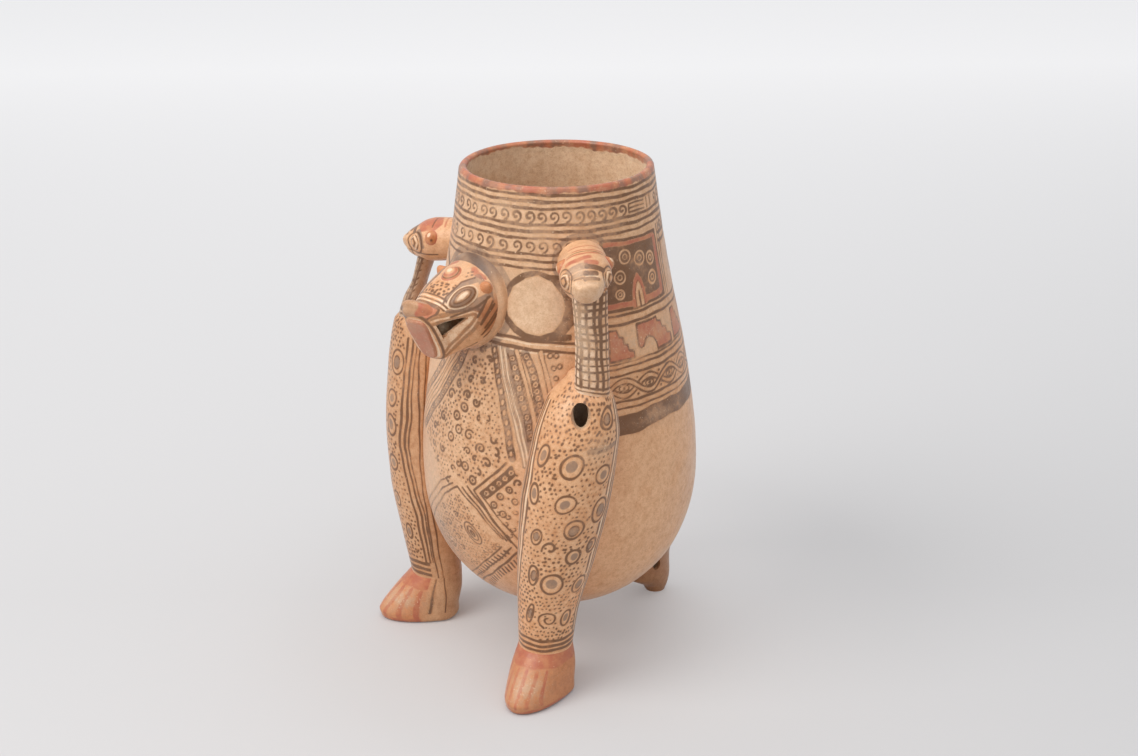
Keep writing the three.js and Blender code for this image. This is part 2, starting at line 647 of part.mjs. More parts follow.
// An arm: a small solid head on the neck of the jar, with eyes and ears pressed on, and a strap of clay
// that runs from under its chin down to the thigh.
function armPieces(sideName, hand, legSkin, thighTop) {
  const { head: root, foot, knee, waist, chin } = ARMS[sideName];
  const { height: rootHeight, distance: rootDistance } = rootPlace(root);
  const kneeHeight = thighTop - knee.underTop;
  const chinHeight = rootHeight - chin.underRoot;
  const strut = [
    { ...foot, height: thighTop - foot.underTop },
    { ...knee, height: kneeHeight },
    { ...waist, height: (kneeHeight + chinHeight) / 2 },
    { ...chin, height: chinHeight, distance: rootDistance + chin.forward },
  ].map(({ height, azimuth, distance, across, deep }) => ({ height, azimuth, distance, across, deep }));
  const frame = headFrame(root, ARM_HEAD_DIP);
  const rings = eased(ARM_HEAD_STATIONS, ARM_HEAD_RINGS);
  const skin = headForm(frame, rings, ARM_HEAD_SIDES, -LUTING_GAP);
  const head = { frame, stations: ARM_HEAD_STATIONS, skin };
  const strap = limb(eased(strut, ARM_RINGS), ARM_SIDES).subtract(skin).subtract(legSkin);
  return [
    piece(`${sideName}_arm_head`, headForm(frame, rings, ARM_HEAD_SIDES).subtract(jarTrim), BUFF_SLIP),
    pressedOn(`${sideName}_arm_front_eye`, head, ARM_EYE, -hand, GREY_SLIP),
    pressedOn(`${sideName}_arm_back_eye`, head, ARM_EYE, hand, GREY_SLIP),
    pressedOn(`${sideName}_arm_front_ear`, head, ARM_EAR, -hand, ORANGE_SLIP),
    pressedOn(`${sideName}_arm_back_ear`, head, ARM_EAR, hand, ORANGE_SLIP),
    piece(`${sideName}_arm_strut`, strap, BUFF_SLIP),
  ];
}

const jar = new THREE.Group();
jar.add(...jarPieces());
jar.add(...legPieces("left", 1));
jar.add(...legPieces("right", -1));
jar.add(...tailPieces());
jar.add(...headPieces());

// The origin is the middle of the footprint, on the floor.
const box = new THREE.Box3().setFromObject(jar);
const middle = box.getCenter(new THREE.Vector3());
jar.position.set(-middle.x, -middle.y, -box.min.z);

export default jar;
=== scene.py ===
import math

import bpy
import numpy as np
from mathutils import Matrix, Vector


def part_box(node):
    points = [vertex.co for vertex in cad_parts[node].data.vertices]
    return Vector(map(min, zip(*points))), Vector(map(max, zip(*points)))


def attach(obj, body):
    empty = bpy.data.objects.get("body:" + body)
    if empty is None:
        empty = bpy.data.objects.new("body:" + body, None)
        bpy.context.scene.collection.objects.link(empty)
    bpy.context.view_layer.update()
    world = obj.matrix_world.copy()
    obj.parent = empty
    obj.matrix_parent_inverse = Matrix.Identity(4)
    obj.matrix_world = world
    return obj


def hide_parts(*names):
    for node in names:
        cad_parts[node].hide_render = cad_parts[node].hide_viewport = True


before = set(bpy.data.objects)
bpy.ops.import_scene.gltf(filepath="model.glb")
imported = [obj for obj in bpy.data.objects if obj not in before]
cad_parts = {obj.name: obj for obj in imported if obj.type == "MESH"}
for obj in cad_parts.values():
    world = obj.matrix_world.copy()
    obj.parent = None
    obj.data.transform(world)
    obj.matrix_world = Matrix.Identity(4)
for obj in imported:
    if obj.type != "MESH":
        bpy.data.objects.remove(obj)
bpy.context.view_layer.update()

bl_info = {
    "name": "Painted effigy jar",
    "version": (1, 0, 0),
    "blender": (4, 5, 0),
    "location": "View3D > Sidebar > Effigy Jar",
    "description": "Builds the painted surfaces of a slip-painted tripod effigy jar over its CAD frame",
    "category": "Add Mesh",
}

LIP_LOW, LIP_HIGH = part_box("rim_lip")
# The jar's axis in the frame, in millimetres. All the shapes below are worked out from this axis.
AXIS = np.array([(LIP_LOW.x + LIP_HIGH.x) * 500, (LIP_LOW.y + LIP_HIGH.y) * 500, 0.0])
RIM_HEIGHT = LIP_HIGH.z * 1000
RIM_RADIUS = (LIP_HIGH.x - LIP_LOW.x) * 500
# A mark is a signed distance in millimetres, and this much stands for no mark near.
FAR = 9.0
MARKS = ("ink", "red", "cream", "grey")

# The jar's outline, in millimetres.
BELLY_HEIGHT = 130.0
BELLY_RADIUS = 92.0
BASE_HEIGHT = 29.0
BOWL_ROUNDNESS = 2.3
SHOULDER_REACH = 55.0
NECK_REACH = 80.0
NECK_FLARE = 0.123
WALL = 6.5
LIP_WALL = 4.6
FLOOR_THICKNESS = 8.0
BOWL_SEAM = 75.0
SHOULDER_SEAM = 226.0
LIP_SEAM = RIM_HEIGHT - 8.0

# Limb stations: height, azimuth from the front, distance from the axis, half width along the wall, depth.
LEG_WALL = 6.5
LEG_STATIONS = [
    (34, 47, 89, 17.5, 17.5), (62, 48.5, 93, 19.5, 19.5), (100, 52, 97, 24.5, 24), (145, 56, 98, 28, 27),
]
THIGHS = {
    "left": [(184, 60, 96, 26.5, 24), (207, 62, 91, 20, 19), (218, 63, 86, 9, 10)],
    "right": [(187, 58.5, 98, 26.5, 25), (213, 58.5, 97, 20, 21.5), (222, 58.5, 95, 11, 13)],
}
VENT = {"under_top": 17, "azimuth": 60.5, "half_width": 6.3, "half_height": 7.6}
# How far a limb rises over its top station, as a dome.
CROWN = 5.0
TAIL_STATIONS = [
    (0, 177.5, 82, 7, 7), (5, 177.5, 81.5, 9, 9.5), (14, 178, 75.5, 13, 17.5), (30, 179, 73, 16, 20),
    (62, 180, 72, 21, 25), (96, 180, 70, 17, 23), (112, 180, 68, 8, 14),
]
TAIL_WALL = 5.0
TAIL_VENT = {"back": 72.5, "height": 27, "half_width": 3.2, "half_height": 4.5}
STRUTS = {
    "left": [
        (200, 65, 97, 11, 7.5), (214, 65.5, 99, 11, 6.2), (245, 65.5, 98, 10.3, 5.8),
        (276, 65, 96, 11, 6.5),
    ],
    "right": [
        (200, -58, 103, 12, 9.5), (216, -58, 105.5, 13, 9.2), (228, -58.6, 105, 11, 6.4),
        (240, -60, 101.3, 8.8, 4.6), (262, -61, 94.5, 10.2, 5.6),
    ],
}
# Foot levels: height, share of the way from the sole's outline to the ankle's, growth.
FOOT_LEVELS = [(0, 0, -3.2), (0.9, 0, -1), (3, 0, 0), (8, 0, 0), (20.85, 0.5, 1.2), (33.7, 1, 0)]
FOOT = {"turn": 24, "heel": 14.5, "toe": 41, "half": 19.5, "ankle": 17.5}

# Head stations: distance along the axis, half width, reach above, reach below, squareness.
HEAD_STATIONS = [
    (-18, 24, 21, 25, 2), (8, 28, 24, 27, 2), (22, 26, 23.5, 24, 2.1), (34, 19, 21, 20, 2.4),
    (44, 13, 19.5, 18, 2.8), (56, 10, 18, 16.5, 3),
]
ARM_HEAD_STATIONS = [
    (-6, 14, 13.5, 14, 2), (12, 15.5, 14, 14.5, 2), (22, 16.2, 13.8, 15, 2), (28, 15.2, 12.4, 14.6, 2),
    (34, 11.4, 9.2, 13.4, 2.1), (40, 9.4, 5.8, 10.6, 2.1), (43, 6.8, 3.2, 6.6, 2),
]
# The small heads' bend to one side, as a share of the distance from the neck, and their domed ends.
ARM_HEAD_TURNS = {"left": -0.15, "right": 0}
ARM_HEAD_DOME = 2.4
HEAD_WALL = 5.0
HEAD_FLOOR = 11.0
# The snout's front plane: its distance along the head, its turn in degrees, and the radius of its edge.
SNOUT = {"along": 47.5, "turn": 11}
SNOUT_EDGE = 2.5
# The mouth's opening and the dished lips round it, along the head and up from its axis.
MOUTH = [(26, 7.4), (34, 10), (43, 10.2), (43, 0.2), (36, 2)]
LIPS = [(22.6, 6.6), (44.4, 11), (44.4, -9)]
LIP_DEPTH = 3.0
MOUTH_SOFTNESS = 0.6

# The camera: distance from the axis and height in millimetres, focal length in pixels of a frame this wide,
# then pitch, yaw and roll in radians. It looks from this azimuth.
FRAME_WIDTH = 1138
CAMERA = (1100.06, 616.49, 1774.96, 0.375902, -0.006095, 0.008522)
CAMERA_AZIMUTH = 0.937751
# The camera's heading over the floor, and to its right.
BACKWARDS = np.array([-math.sin(CAMERA_AZIMUTH), math.cos(CAMERA_AZIMUTH), 0])
SIDEWAYS = np.array([math.cos(CAMERA_AZIMUTH), math.sin(CAMERA_AZIMUTH), 0])


def slip(red, green, blue):
    """Linear colour of an sRGB colour given in 0 to 255."""
    share = np.array([red, green, blue]) / 255
    return tuple(np.where(share <= 0.04045, share / 12.92, ((share + 0.055) / 1.055) ** 2.4))


def shade(name, colour, description):
    """A colour property with a plain default."""
    return bpy.props.FloatVectorProperty(
        name=name, description=description, default=slip(*colour), subtype="COLOR", size=3, min=0, max=1
    )


class JarSlips(bpy.types.PropertyGroup):
    """Colours of the slips, the fired clay and the studio."""

    buff: shade("Buff slip", (236, 185, 141), "Ground slip of the belly and the legs")
    gold: shade("Neck slip", (238, 192, 151), "Warmer ground slip of the neck")
    orange: shade("Orange slip", (216, 146, 98), "Orange slip of ears and crowns")
    red: shade("Red slip", (184, 101, 73), "Red slip of lip, feet, tongue and step frets")
    cream: shade("Cream slip", (240, 208, 174), "Pale slip of lines and eyes")
    ink: shade("Dark paint", (106, 66, 34), "Dark mineral paint of the drawing")
    # Over the dark paint this grey stands partly for rubbed paint and partly for a painted reflection; it is
    # also the grey wash of the drawing.
    sheen: shade("Worn dark paint", (136, 108, 90), "Grey cast of worn dark paint")
    inside: shade("Bare inside", (250, 222, 190), "Unslipped clay inside the jar")
    raw: shade("Raw clay", (236, 212, 180), "Clay of the rattle pellets")
    floor: shade("Floor", (204, 202, 202), "Paper floor and backdrop")


def size(name, description, default, low, high):
    """A length property in metres."""
    return bpy.props.FloatProperty(
        name=name, description=description, default=default, min=low, max=high, precision=5, unit="LENGTH"
    )


class JarHand(bpy.types.PropertyGroup):
    """Sizes that set how handmade the jar looks, and the strength of its light."""

    unevenness: size("Unevenness", "How far the hand-built wall wanders, in metres", 0.00035, 0, 0.002)
    line: size("Line width", "Width of a fine painted line, in metres", 0.0012, 0.0004, 0.004)
    dot: size("Dot width", "Width of a painted dot, in metres", 0.0017, 0.0006, 0.004)
    wear: bpy.props.FloatProperty(
        name="Wear", description="Share of paint rubbed thin", default=0.42, min=0, max=1, subtype="FACTOR"
    )
    lamp: bpy.props.FloatProperty(
        name="Key light", description="Power of the key light", default=16, min=0, max=200, subtype="POWER"
    )


def hand():
    """The scene's handmade sizes."""
    return bpy.context.scene.jar_hand


def tone(name, strength=1.0):
    """A slip's colour in the scene, made lighter or darker by a factor."""
    return np.array(getattr(bpy.context.scene.jar_slips, name)) * strength


# Shapes of the vessel.


def knot_gap(start, end):
    """The spacing of two knots: the fourth root of one plus the square of their difference."""
    return ((start - end) ** 2 + 1) ** 0.25


def eased(stations, shares):
    """Stations eased by a centripetal Catmull-Rom curve through each value against its place in a list."""
    points = np.asarray(stations, float)
    count = len(points)
    place = np.clip(shares, 0, 1) * (count - 1)
    low = np.minimum(place.astype(int), count - 2)
    share = (place - low)[:, None]
    ends = np.vstack([2 * points[0] - points[1], points, 2 * points[-1] - points[-2]])
    a, b, c, d = ends[low], ends[low + 1], ends[low + 2], ends[low + 3]
    ab, bc, cd = knot_gap(a, b), knot_gap(b, c), knot_gap(c, d)
    leave = ((b - a) / ab - (c - a) / (ab + bc) + (c - b) / bc) * bc
    reach = ((c - b) / bc - (d - b) / (bc + cd) + (d - c) / cd) * bc
    return (
        b
        + leave * share
        + (-3 * b + 3 * c - 2 * leave - reach) * share**2
        + (2 * b - 2 * c + leave + reach) * share**3
    )


def station_at(stations, place):
    """Every eased value of a limb or head at places along it."""
    fine = eased(stations, np.linspace(0, 1, 601))
    return [np.interp(place, fine[:, 0], fine[:, k]) for k in range(1, fine.shape[1])]


def smooth(low, high, value):
    """Smooth step from 0 at low to 1 at high."""
    share = np.clip((value - low) / (high - low), 0, 1)
    return share * share * (3 - 2 * share)


def unevenness(x, y, z):
    """Slow waves over the hand-built clay: sums of products of sines of the place."""
    wave = np.sin(x / 21 + z / 33 + 0.7) * np.sin(y / 25 - z / 29 + 1.9)
    wave = wave + 0.6 * np.sin(x / 11.5 - y / 13 + 0.4) * np.sin(z / 9.5 + x / 31)
    wave = wave + 0.3 * np.sin(x / 5.3 + z / 6.1) * np.sin(y / 5.9 - z / 7.3)
    return hand().unevenness * 1000 * wave


def shoulder_curve():
    """The cubic Bezier outline from the belly to the rim, as radius and height."""
    t = np.linspace(0, 1, 2001)[:, None]
    corners = np.array(
        [
            (BELLY_RADIUS, BELLY_HEIGHT),
            (BELLY_RADIUS, BELLY_HEIGHT + SHOULDER_REACH),
            (RIM_RADIUS + NECK_FLARE * NECK_REACH, RIM_HEIGHT - NECK_REACH),
            (RIM_RADIUS, RIM_HEIGHT),
        ]
    )
    low = (1 - t) ** 3 * corners[0] + 3 * (1 - t) ** 2 * t * corners[1]
    return low + 3 * (1 - t) * t**2 * corners[2] + t**3 * corners[3]


SHOULDER = shoulder_curve()


def jar_radius(height, grow=0.0):
    """Radius of the jar's outside: an oval bowl up to the belly, and the shoulder curve above it."""
    height = np.asarray(height, float)
    drop = np.clip((BELLY_HEIGHT - height) / (BELLY_HEIGHT - BASE_HEIGHT + grow), 0, 1)
    bowl = (BELLY_RADIUS + grow) * (1 - drop**BOWL_ROUNDNESS) ** (1 / BOWL_ROUNDNESS)
    return np.where(height >= BELLY_HEIGHT, np.interp(height, SHOULDER[:, 1], SHOULDER[:, 0]) + grow, bowl)


def hollow_radius(height):
    """Radius of the jar's hollow, whose wall thins evenly from the belly to the lip."""
    height = np.asarray(height, float)
    share = (height - BELLY_HEIGHT) / (RIM_HEIGHT - BELLY_HEIGHT)
    wall = WALL + (LIP_WALL - WALL) * np.clip(share, 0, 1)
    return np.where(height >= BELLY_HEIGHT, jar_radius(height) - wall, jar_radius(height, -WALL))


def bearings(azimuth):
    """Unit directions away from the jar's axis and along its wall at an azimuth in degrees."""
    turn = np.radians(azimuth)
    flat = np.zeros_like(turn)
    out = np.stack([np.sin(turn), -np.cos(turn), flat], -1)
    return out, np.stack([np.cos(turn), np.sin(turn), flat], -1)


def off_the_jar(points, sink, blend):
    """Points pushed out radially to the jar's wall, less sink, by a smooth maximum that leaves a fillet."""
    x, y, z = np.moveaxis(points, -1, 0)
    reach = np.maximum(np.hypot(x, y), 1e-6)
    wall = jar_radius(z) + unevenness(x, y, z) - sink
    out = (reach + wall + np.sqrt((reach - wall) ** 2 + blend**2)) / 2
    out = np.where(z > BASE_HEIGHT + 2, out, reach)
    return np.stack([x * out / reach, y * out / reach, z], -1)


def limb_points(stations, height, degrees, inset=0.0):
    """A limb's skin: the middle of a level ring, plus depth times the cosine outwards and half width times
    the sine along the wall. Over the top station the ring shrinks as a quarter circle."""
    azimuth, distance, across, deep = station_at(stations, height)
    top = stations[-1][0]
    dome = np.sqrt(np.clip(1 - (np.maximum(height - top, 0) / CROWN) ** 2, 0, 1))
    out, along = bearings(azimuth)
    turn = np.radians(degrees)
    deep = np.maximum(deep - inset, 1) * dome * np.cos(turn)
    across = np.maximum(across - inset, 1) * dome * np.sin(turn)
    points = out * (distance + deep)[..., None] + along * across[..., None]
    points[..., 2] = height
    return points


def head_frame(azimuth, under_rim, inside_wall, dip):
    """Origin, forward, up and side axes of a head that looks outwards and dips."""
    height = RIM_HEIGHT - under_rim
    out, along = bearings(azimuth)
    fall = math.radians(dip)
    rise = np.array([0, 0, 1.0])
    return {
        "origin": out * (jar_radius(height) - inside_wall) + rise * height,
        "forward": out * math.cos(fall) - rise * math.sin(fall),
        "up": rise * math.cos(fall) + out * math.sin(fall),
        "side": along,
    }


BIG_HEAD = head_frame(5, 72, 6.3, 25)
ARM_HEADS = {"left": head_frame(66.5, 45.5, 3.3, 5), "right": head_frame(-61, 59, 3.8, 5)}


def blunted(wave, power):
    """A wave between -1 and 1 raised to a power, with its sign kept."""
    return np.sign(wave) * np.abs(wave) ** power


def head_section(stations, along, degrees, inset=0.0, floor=None):
    """Side and up of a head's skin: half width times the cosine and reach times the sine, each raised to the
    power two over squareness. Degrees count up from the left side."""
    half, above, below, square = station_at(stations, along)
    turn = np.radians(degrees)
    rise = np.where(np.sin(turn) >= 0, above - inset, below - (inset if floor is None else floor))
    return (half - inset) * blunted(np.cos(turn), 2 / square), rise * blunted(np.sin(turn), 2 / square)


def in_frame(head, along, side, up):
    """Points from distances along, beside and over a head's middle line."""
    ahead = head["origin"] + along[..., None] * head["forward"]
    return ahead + up[..., None] * head["up"] + side[..., None] * head["side"]


def snout_along(side):
    """Where the turned front plane of the snout lies, at a distance to the side."""
    return SNOUT["along"] - side * math.tan(math.radians(SNOUT["turn"]))


def near_steps(x, y, starts, ends):
    """Squared distance to the nearest of straight steps between starts and ends."""
    best = np.full(x.shape, 1e9)
    for (ax, ay), (bx, by) in zip(starts, ends):
        dx, dy = bx - ax, by - ay
        share = np.clip(((x - ax) * dx + (y - ay) * dy) / (dx * dx + dy * dy + 1e-9), 0, 1)
        best = np.minimum(best, (x - ax - share * dx) ** 2 + (y - ay - share * dy) ** 2)
    return best


def within(x, y, corners):
    """Whether places lie inside a polygon, by the crossing rule."""
    inside = np.zeros(x.shape, bool)
    for (ax, ay), (bx, by) in zip(corners, np.roll(corners, -1, 0)):
        rise = by - ay if abs(by - ay) > 1e-9 else 1e-9
        inside ^= ((ay > y) != (by > y)) & (x < (bx - ax) * (y - ay) / rise + ax)
    return inside


def outline_gap(x, y, corners):
    """Signed distance to a polygon, negative inside it."""
    corners = np.asarray(corners, float)
    gap = np.sqrt(near_steps(x, y, corners, np.roll(corners, -1, 0)))
    return np.where(within(x, y, corners), -gap, gap)


def big_head_local(row, degrees):
    """Along, side and up of the big head's skin. The row runs along the axis, then round the snout's edge as
    a quarter circle, and then inwards over its flat front, which is skewed on to the turned front plane. The
    cheeks are dished within the lips."""
    start = SNOUT["along"] - SNOUT_EDGE
    turn = np.clip((row - start) / SNOUT_EDGE, 0, math.pi / 2)
    along = np.minimum(row, start) + SNOUT_EDGE * np.sin(turn)
    inset = SNOUT_EDGE * (1 - np.cos(turn)) + np.maximum(row - start - SNOUT_EDGE * math.pi / 2, 0)
    side, up = head_section(HEAD_STATIONS, along, degrees, inset)
    dish = LIP_DEPTH * smooth(0, 7, -outline_gap(along, up, LIPS)) * smooth(3, 9, np.abs(side))
    lean = smooth(22, SNOUT["along"], along)
    return along + lean * (snout_along(side) - SNOUT["along"]), side - np.sign(side) * dish, up


def big_head_points(row, degrees):
    """The big head's skin, fitted to the jar with a fillet."""
    return off_the_jar(in_frame(BIG_HEAD, *big_head_local(row, degrees)), 0.8, 3.0)


def big_head_hollow(row, degrees):
    """The hollow of the big head, whose rows draw together behind the snout's front."""
    taper = 6.5
    start = SNOUT["along"] - HEAD_WALL - taper
    along = np.where(row < start, row, start + taper * np.tanh((row - start) / taper))
    side, up = head_section(HEAD_STATIONS, along, degrees, HEAD_WALL, HEAD_FLOOR)
    return off_the_jar(in_frame(BIG_HEAD, along, side, up), -0.6, 1.5)


def arm_head_points(name, row, degrees):
    """A small head's skin, fitted to the neck of the jar. Past its last station it closes as a low dome. Its
    middle line bends to one side by a share of the distance from the neck."""
    end = ARM_HEAD_STATIONS[-1][0]
    turn = np.clip((row - end) / ARM_HEAD_DOME, 0, math.pi / 2)
    along = np.minimum(row, end) + ARM_HEAD_DOME * np.sin(turn)
    side, up = head_section(ARM_HEAD_STATIONS, np.minimum(row, end), degrees)
    side = side * np.cos(turn) + ARM_HEAD_TURNS[name] * np.maximum(along - 4, 0)
    return off_the_jar(in_frame(ARM_HEADS[name], along, side, up * np.cos(turn)), 0.8, 4.0)


# Meshes.


def grid_faces(rows, columns, wrap_rows=False, wrap_columns=True):
    """Quads of a grid of points whose columns run anticlockwise and whose rows run away from the viewer."""
    row = np.arange(rows if wrap_rows else rows - 1)[:, None]
    column = np.arange(columns if wrap_columns else columns - 1)[None, :]
    up, on = (row + 1) % rows, (column + 1) % columns
    return np.stack(
        [row * columns + column, row * columns + on, up * columns + on, up * columns + column], -1
    ).reshape(-1, 4)


def fan_faces(ring, pole, ends):
    """Triangles between a ring of points and one pole, facing on from a grid's last row, or its first."""
    on = np.roll(ring, -1)
    pair = (ring, on) if ends else (on, ring)
    return np.stack([pair[0], pair[1], np.full(len(ring), pole)], -1)


def build(name, points, faces, slot, ground, marks=None, body="vessel"):
    """An object from points in millimetres and lists of faces, with its paint as point attributes: ground is
    the slip's colour, or one for each point, and marks are signed distances in millimetres to painted edges,
    for the first of the points."""
    mesh = bpy.data.meshes.new(name)
    place = (points.reshape(-1, 3) + AXIS) / 1000
    used, loops = np.unique(np.concatenate([face.ravel() for face in faces]), return_inverse=True)
    mesh.vertices.add(len(used))
    mesh.vertices.foreach_set("co", place[used].astype(np.float32).ravel())
    sizes = np.concatenate([np.full(len(face), face.shape[1]) for face in faces])
    mesh.loops.add(len(loops))
    mesh.loops.foreach_set("vertex_index", loops.astype(np.int32))
    mesh.polygons.add(len(sizes))
    mesh.polygons.foreach_set("loop_start", (np.cumsum(sizes) - sizes).astype(np.int32))
    mesh.update(calc_edges=True)
    if mesh.validate():
        raise RuntimeError(name + " has faces that Blender had to mend")
    mesh.shade_smooth()
    mesh.set_sharp_from_angle(angle=math.radians(48))
    colour = np.ones((len(place), 4), np.float32)
    colour[:, :3] = np.asarray(ground).reshape(-1, 3)
    mesh.attributes.new("ground", "FLOAT_COLOR", "POINT").data.foreach_set("color", colour[used].ravel())
    for mark in (*MARKS, "worn"):
        values = np.full(len(place), 0.0 if mark == "worn" else FAR, np.float32)
        if marks and mark in marks:
            values[: marks[mark].size] = marks[mark].ravel()
        mesh.attributes.new(mark, "FLOAT", "POINT").data.foreach_set("value", values[used])
    mesh.materials.append(painted_slip())
    piece = bpy.data.objects.new(name, mesh)
    bpy.context.scene.collection.objects.link(piece)
    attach(piece, body)
    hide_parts(name)


def mix(low, high, share):
    """Colours between two, by a share or an array of shares."""
    share = np.asarray(share)[..., None]
    return np.asarray(low) * (1 - share) + np.asarray(high) * share


def coats(points, rest, skin, hollow=None):
    """Colours of points: first the skin's, then the hollow's for as many more, and one for the rest."""
    skin = np.reshape(skin, (-1, 3))
    shades = np.empty(points.shape)
    shades[:] = rest
    shades[: len(skin)] = skin
    if hollow is not None:
        shades[len(skin) : 2 * len(skin)] = hollow
    return shades


def around(count):
    """Degrees all the way round."""
    return np.linspace(-180, 180, count, endpoint=False)


def shell(outside, inside, rows, degrees, opening, cell, reach, footed=False):
    """A hollow skin. Both skins are functions of the same grid of rows and degrees, reach millimetres in a
    degree. Grid points next to the edge of an opening, a signed distance on the grid, slide on to it. Cells
    inside it are left out, and the skins are joined round it. They are joined along the first row too, or
    close there at poles if footed. The last row of each skin closes at a pole."""
    row, degree = np.meshgrid(rows, degrees, indexing="ij")
    near = np.zeros(row.shape, bool)
    step = 0.05
    for _ in range(2):
        gap = opening(row, degree)
        slope_row = (opening(row + step, degree) - gap) / step
        slope_degree = (opening(row, degree + step) - gap) / step / reach
        steep = slope_row**2 + slope_degree**2 + 1e-9
        near = near | (np.abs(gap) < 0.6 * cell)
        row = np.where(near, row - gap * slope_row / steep, row)
        degree = np.where(near, degree - gap * slope_degree / reach / steep, degree)
    gap = np.where(near, 0, opening(row, degree)).ravel()
    skins = [outside(row, degree).reshape(-1, 3), inside(row, degree).reshape(-1, 3)]
    count = row.size
    quads = grid_faces(*row.shape)
    corner = gap[quads]
    whole = quads[corner.min(1) >= 0]
    split = quads[(corner.min(1) < 0) & (corner.max(1) > 0)]
    edge = gap[split]
    turn = np.abs(edge[:, 0]) + np.abs(edge[:, 2]) > np.abs(edge[:, 1]) + np.abs(edge[:, 3])
    split = np.where(turn[:, None], np.roll(split, -1, 1), split)
    halves = np.concatenate([split[:, [0, 1, 2]], split[:, [0, 2, 3]]])
    halves = halves[gap[halves].sum(1) > 0]
    sides = [whole[:, [k, (k + 1) % 4]] for k in range(4)] + [halves[:, [k, (k + 1) % 3]] for k in range(3)]
    sides = np.concatenate(sides)
    free = sides[~np.isin(sides[:, 1] * count + sides[:, 0], sides[:, 0] * count + sides[:, 1])]
    first = np.arange(row.shape[1])
    last = first + count - len(first)
    free = free[~(free >= last[0]).all(1)]
    if footed:
        free = free[~(free < len(first)).all(1)]
    poles = np.stack([skin[ring].mean(0) for ring in (last, first) for skin in skins])
    points = np.concatenate([skins[0], skins[1], poles if footed else poles[:2]])
    faces = [
        whole,
        whole[:, ::-1] + count,
        halves,
        halves[:, ::-1] + count,
        np.stack([free[:, 1], free[:, 0], free[:, 0] + count, free[:, 1] + count], -1),
        fan_faces(last, 2 * count, True),
        fan_faces(last + count, 2 * count + 1, False),
    ]
    if footed:
        faces += [fan_faces(first, 2 * count + 2, False), fan_faces(first + count, 2 * count + 3, True)]
    return points, [face for face in faces if len(face)]


def closed_loft(points):
    """Points and faces of a grid whose columns wrap round, closed at both ends by poles."""
    rows, columns = points.shape[:2]
    flat = points.reshape(-1, 3)
    first = np.arange(columns)
    faces = [
        grid_faces(rows, columns),
        fan_faces(first, len(flat), False),
        fan_faces(first + len(flat) - columns, len(flat) + 1, True),
    ]
    return np.concatenate([flat, [points[0].mean(0), points[-1].mean(0)]]), faces


# Paint.


def wrapped(degrees):
    """Degrees brought between -180 and 180."""
    return (degrees + 180) % 360 - 180


